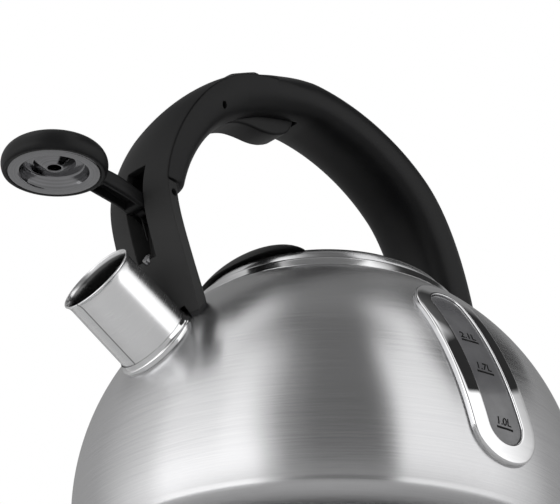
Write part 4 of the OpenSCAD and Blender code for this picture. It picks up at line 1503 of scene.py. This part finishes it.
@dataclass
class Studio:
    """Pale floor, soft light and camera."""

    azimuth: float = -41.4
    elevation: float = -26.5
    distance: float = 1.0504
    aim: Place = (-13.7, 12.1, 151.5)
    roll: float = -0.344
    lens: float = 160.7
    nadir_bands: Table = (
        (-179, 0.45), (-150, 0.5), (-100, 0.62), (-60, 0.5), (-25, 0.3), (5, 0.2), (18, 0.25), (34, 0.9),
        (46, 1.45), (76, 1.3), (110, 0.7), (150, 0.45))
    ground_bands: Table = (
        (-179, 0.3), (-120, 0.5), (-85, 1.5), (-74, 2.2), (-32, 2.2), (-26, 1.3), (-17, 0.4), (-5, 0.2),
        (22, 0.18), (27, 0.35), (33, 1.55), (76, 1.4), (95, 1.0), (115, 0.5), (150, 0.3))
    low_bands: Table = (
        (-179, 0.3), (-125, 0.5), (-85, 0.9), (-76, 1.25), (-37, 1.45), (-30, 1.0), (-21, 0.4), (-7, 0.2),
        (22, 0.17), (27, 0.35), (33, 1.35), (76, 1.35), (90, 1.0), (110, 0.5), (150, 0.3))
    high_bands: Table = (
        (-179, 0.25), (-125, 0.4), (-85, 0.85), (-76, 1.1), (-40, 1.25), (-28, 0.85), (-18, 0.4), (-5, 0.22),
        (22, 0.2), (27, 0.35), (33, 1.3), (64, 1.2), (67, 0.03), (142, 0.03), (150, 0.25))
    top_bands: Table = (
        (-179, 0.25), (-135, 0.3), (-112, 0.8), (-100, 1.25), (-76, 1.2), (-64, 0.5), (-50, 0.2), (50, 0.18),
        (56, 0.3), (62, 1.35), (92, 1.3), (102, 0.15), (142, 0.06), (155, 0.22))
    roof_bands: Table = ((-179, 0.3), (0, 0.3))
    floor_radius: float = 1.6
    floor_drop: float = 0.0004
    paper: tuple[Place, Place] = ((0.88, 0.88, 0.88), (0.91, 0.91, 0.91))

    @property
    def layers(self) -> tuple[tuple[float, float, Table], ...]:
        """Rings of brightness above the nadir's: where each sets in, where it is full, its bands."""
        return (
            (0.16, 0.29, self.ground_bands),
            (0.59, 0.63, self.low_bands),
            (0.797, 0.807, self.high_bands),
            (0.915, 0.96, self.top_bands),
            (0.985, 0.998, self.roof_bands),
        )

    def floor(self) -> None:
        """Lays a pale floor, clear from below."""
        bm = bmesh.new()
        bmesh.ops.create_circle(bm, cap_ends=True, segments=96, radius=self.floor_radius)
        bmesh.ops.translate(bm, verts=bm.verts, vec=(0, 0, -self.floor_drop))
        mesh = bpy.data.meshes.new("floor")
        bm.to_mesh(mesh)
        bm.free()
        floor = bpy.data.objects.new("floor", mesh)
        bpy.context.scene.collection.objects.link(floor)
        s = Sketch("floor_paper")
        speck = s.span(s.noise(s.place(), 60.0), 0, 1)
        s.set(Base_Color=s.mixed(speck, *self.paper), Roughness=0.7, Specular_IOR_Level=0.2)
        seen = s.add("LightPath").outputs["Is Camera Ray"]
        below = s.math("MULTIPLY", s.add("NewGeometry").outputs["Backfacing"], seen)
        clear = s.add("BsdfTransparent").outputs[0]
        mix = s.add("MixShader", {0: below, 1: s.shader.outputs[0], 2: clear})
        s.fill(s.output, {"Surface": mix.outputs[0]})
        mesh.materials.append(s.material)

    def surroundings(self) -> None:
        """Lights the scene from soft boxes and dark cards all around."""
        world = bpy.data.worlds.new("studio")
        bpy.context.scene.world = world
        world.use_nodes = True
        w = Nodes(world.node_tree)
        split = w.add("SeparateXYZ", {0: w.add("TexCoord").outputs["Generated"]})
        angle = w.math("ARCTAN2", split.outputs[1], split.outputs[0])
        turn = {"Value": angle, "From Min": -math.pi, "From Max": math.pi}
        bearing = w.add("MapRange", turn).outputs["Result"]
        rise = {"Value": split.outputs[2], "From Min": -1.0, "From Max": 1.0}
        height = w.add("MapRange", rise).outputs["Result"]
        shade = w.ramp(bearing, self.bands(self.nadir_bands))
        for start, end, bands in self.layers:
            step = w.ramp(height, [(0.0, 0.0), (start, 0.0), (end, 1.0), (1.0, 1.0)])
            shade = w.mixed(step, shade, w.ramp(bearing, self.bands(bands)))
        lit = w.add("Background", {"Color": shade, "Strength": 1.0})
        white = w.add("Background", {"Color": (1, 1, 1, 1), "Strength": 1.0})
        seen = w.add("LightPath").outputs["Is Camera Ray"]
        mix = w.add("MixShader", {0: seen, 1: lit.outputs[0], 2: white.outputs[0]})
        w.add("OutputWorld", {"Surface": mix.outputs[0]})

    def bands(self, by_offset: Table) -> list[Point]:
        """Turns brightness by angle from the viewer into shares of a turn.

        Args:
            by_offset: Degrees to the viewer's right, and brightness.

        Returns:
            Positions from -180 degrees, and brightness.
        """
        middle = -90 + self.azimuth
        return sorted((((middle + offset + 180) % 360) / 360, value) for offset, value in by_offset)

    def camera(self) -> None:
        """Sets the camera up."""
        data = bpy.data.cameras.new("camera")
        data.sensor_width = 36
        data.lens = self.lens
        data.clip_start, data.clip_end = 0.05, 20
        camera = bpy.data.objects.new("camera", data)
        bpy.context.scene.collection.objects.link(camera)
        a, e = math.radians(self.azimuth), math.radians(self.elevation)
        back = Vector((math.sin(a) * math.cos(e), -math.cos(a) * math.cos(e), math.sin(e)))
        camera.location = Vector(self.aim) * MM + back * self.distance
        turn = (-back).to_track_quat("-Z", "Y").to_matrix().to_4x4()
        turn = turn @ Matrix.Rotation(math.radians(self.roll), 4, "Z")
        camera.matrix_world = Matrix.Translation(camera.location) @ turn
        bpy.context.scene.camera = camera

    def build(self) -> None:
        """Sets the studio up."""
        self.floor()
        self.surroundings()
        self.camera()
        bpy.context.scene.view_settings.view_transform = "Standard"


# ---- putting it together ----------------------------------------------------


def main() -> None:
    """Builds every part of the kettle, then its surroundings."""
    logging.basicConfig(level=logging.INFO, format="%(name)s: %(message)s")
    dress = Dresser()
    body, spout, gauge = KettleBody(), Spout(), LevelGauge()
    body.build(dress, spout, gauge)
    spout.build(dress)
    gauge.build(dress)
    Lid().build(dress)
    Handle().build(dress)
    Trigger().build(dress)
    SpoutCap().build(dress)
    Studio().build()


if __name__ == "__main__":
    main()
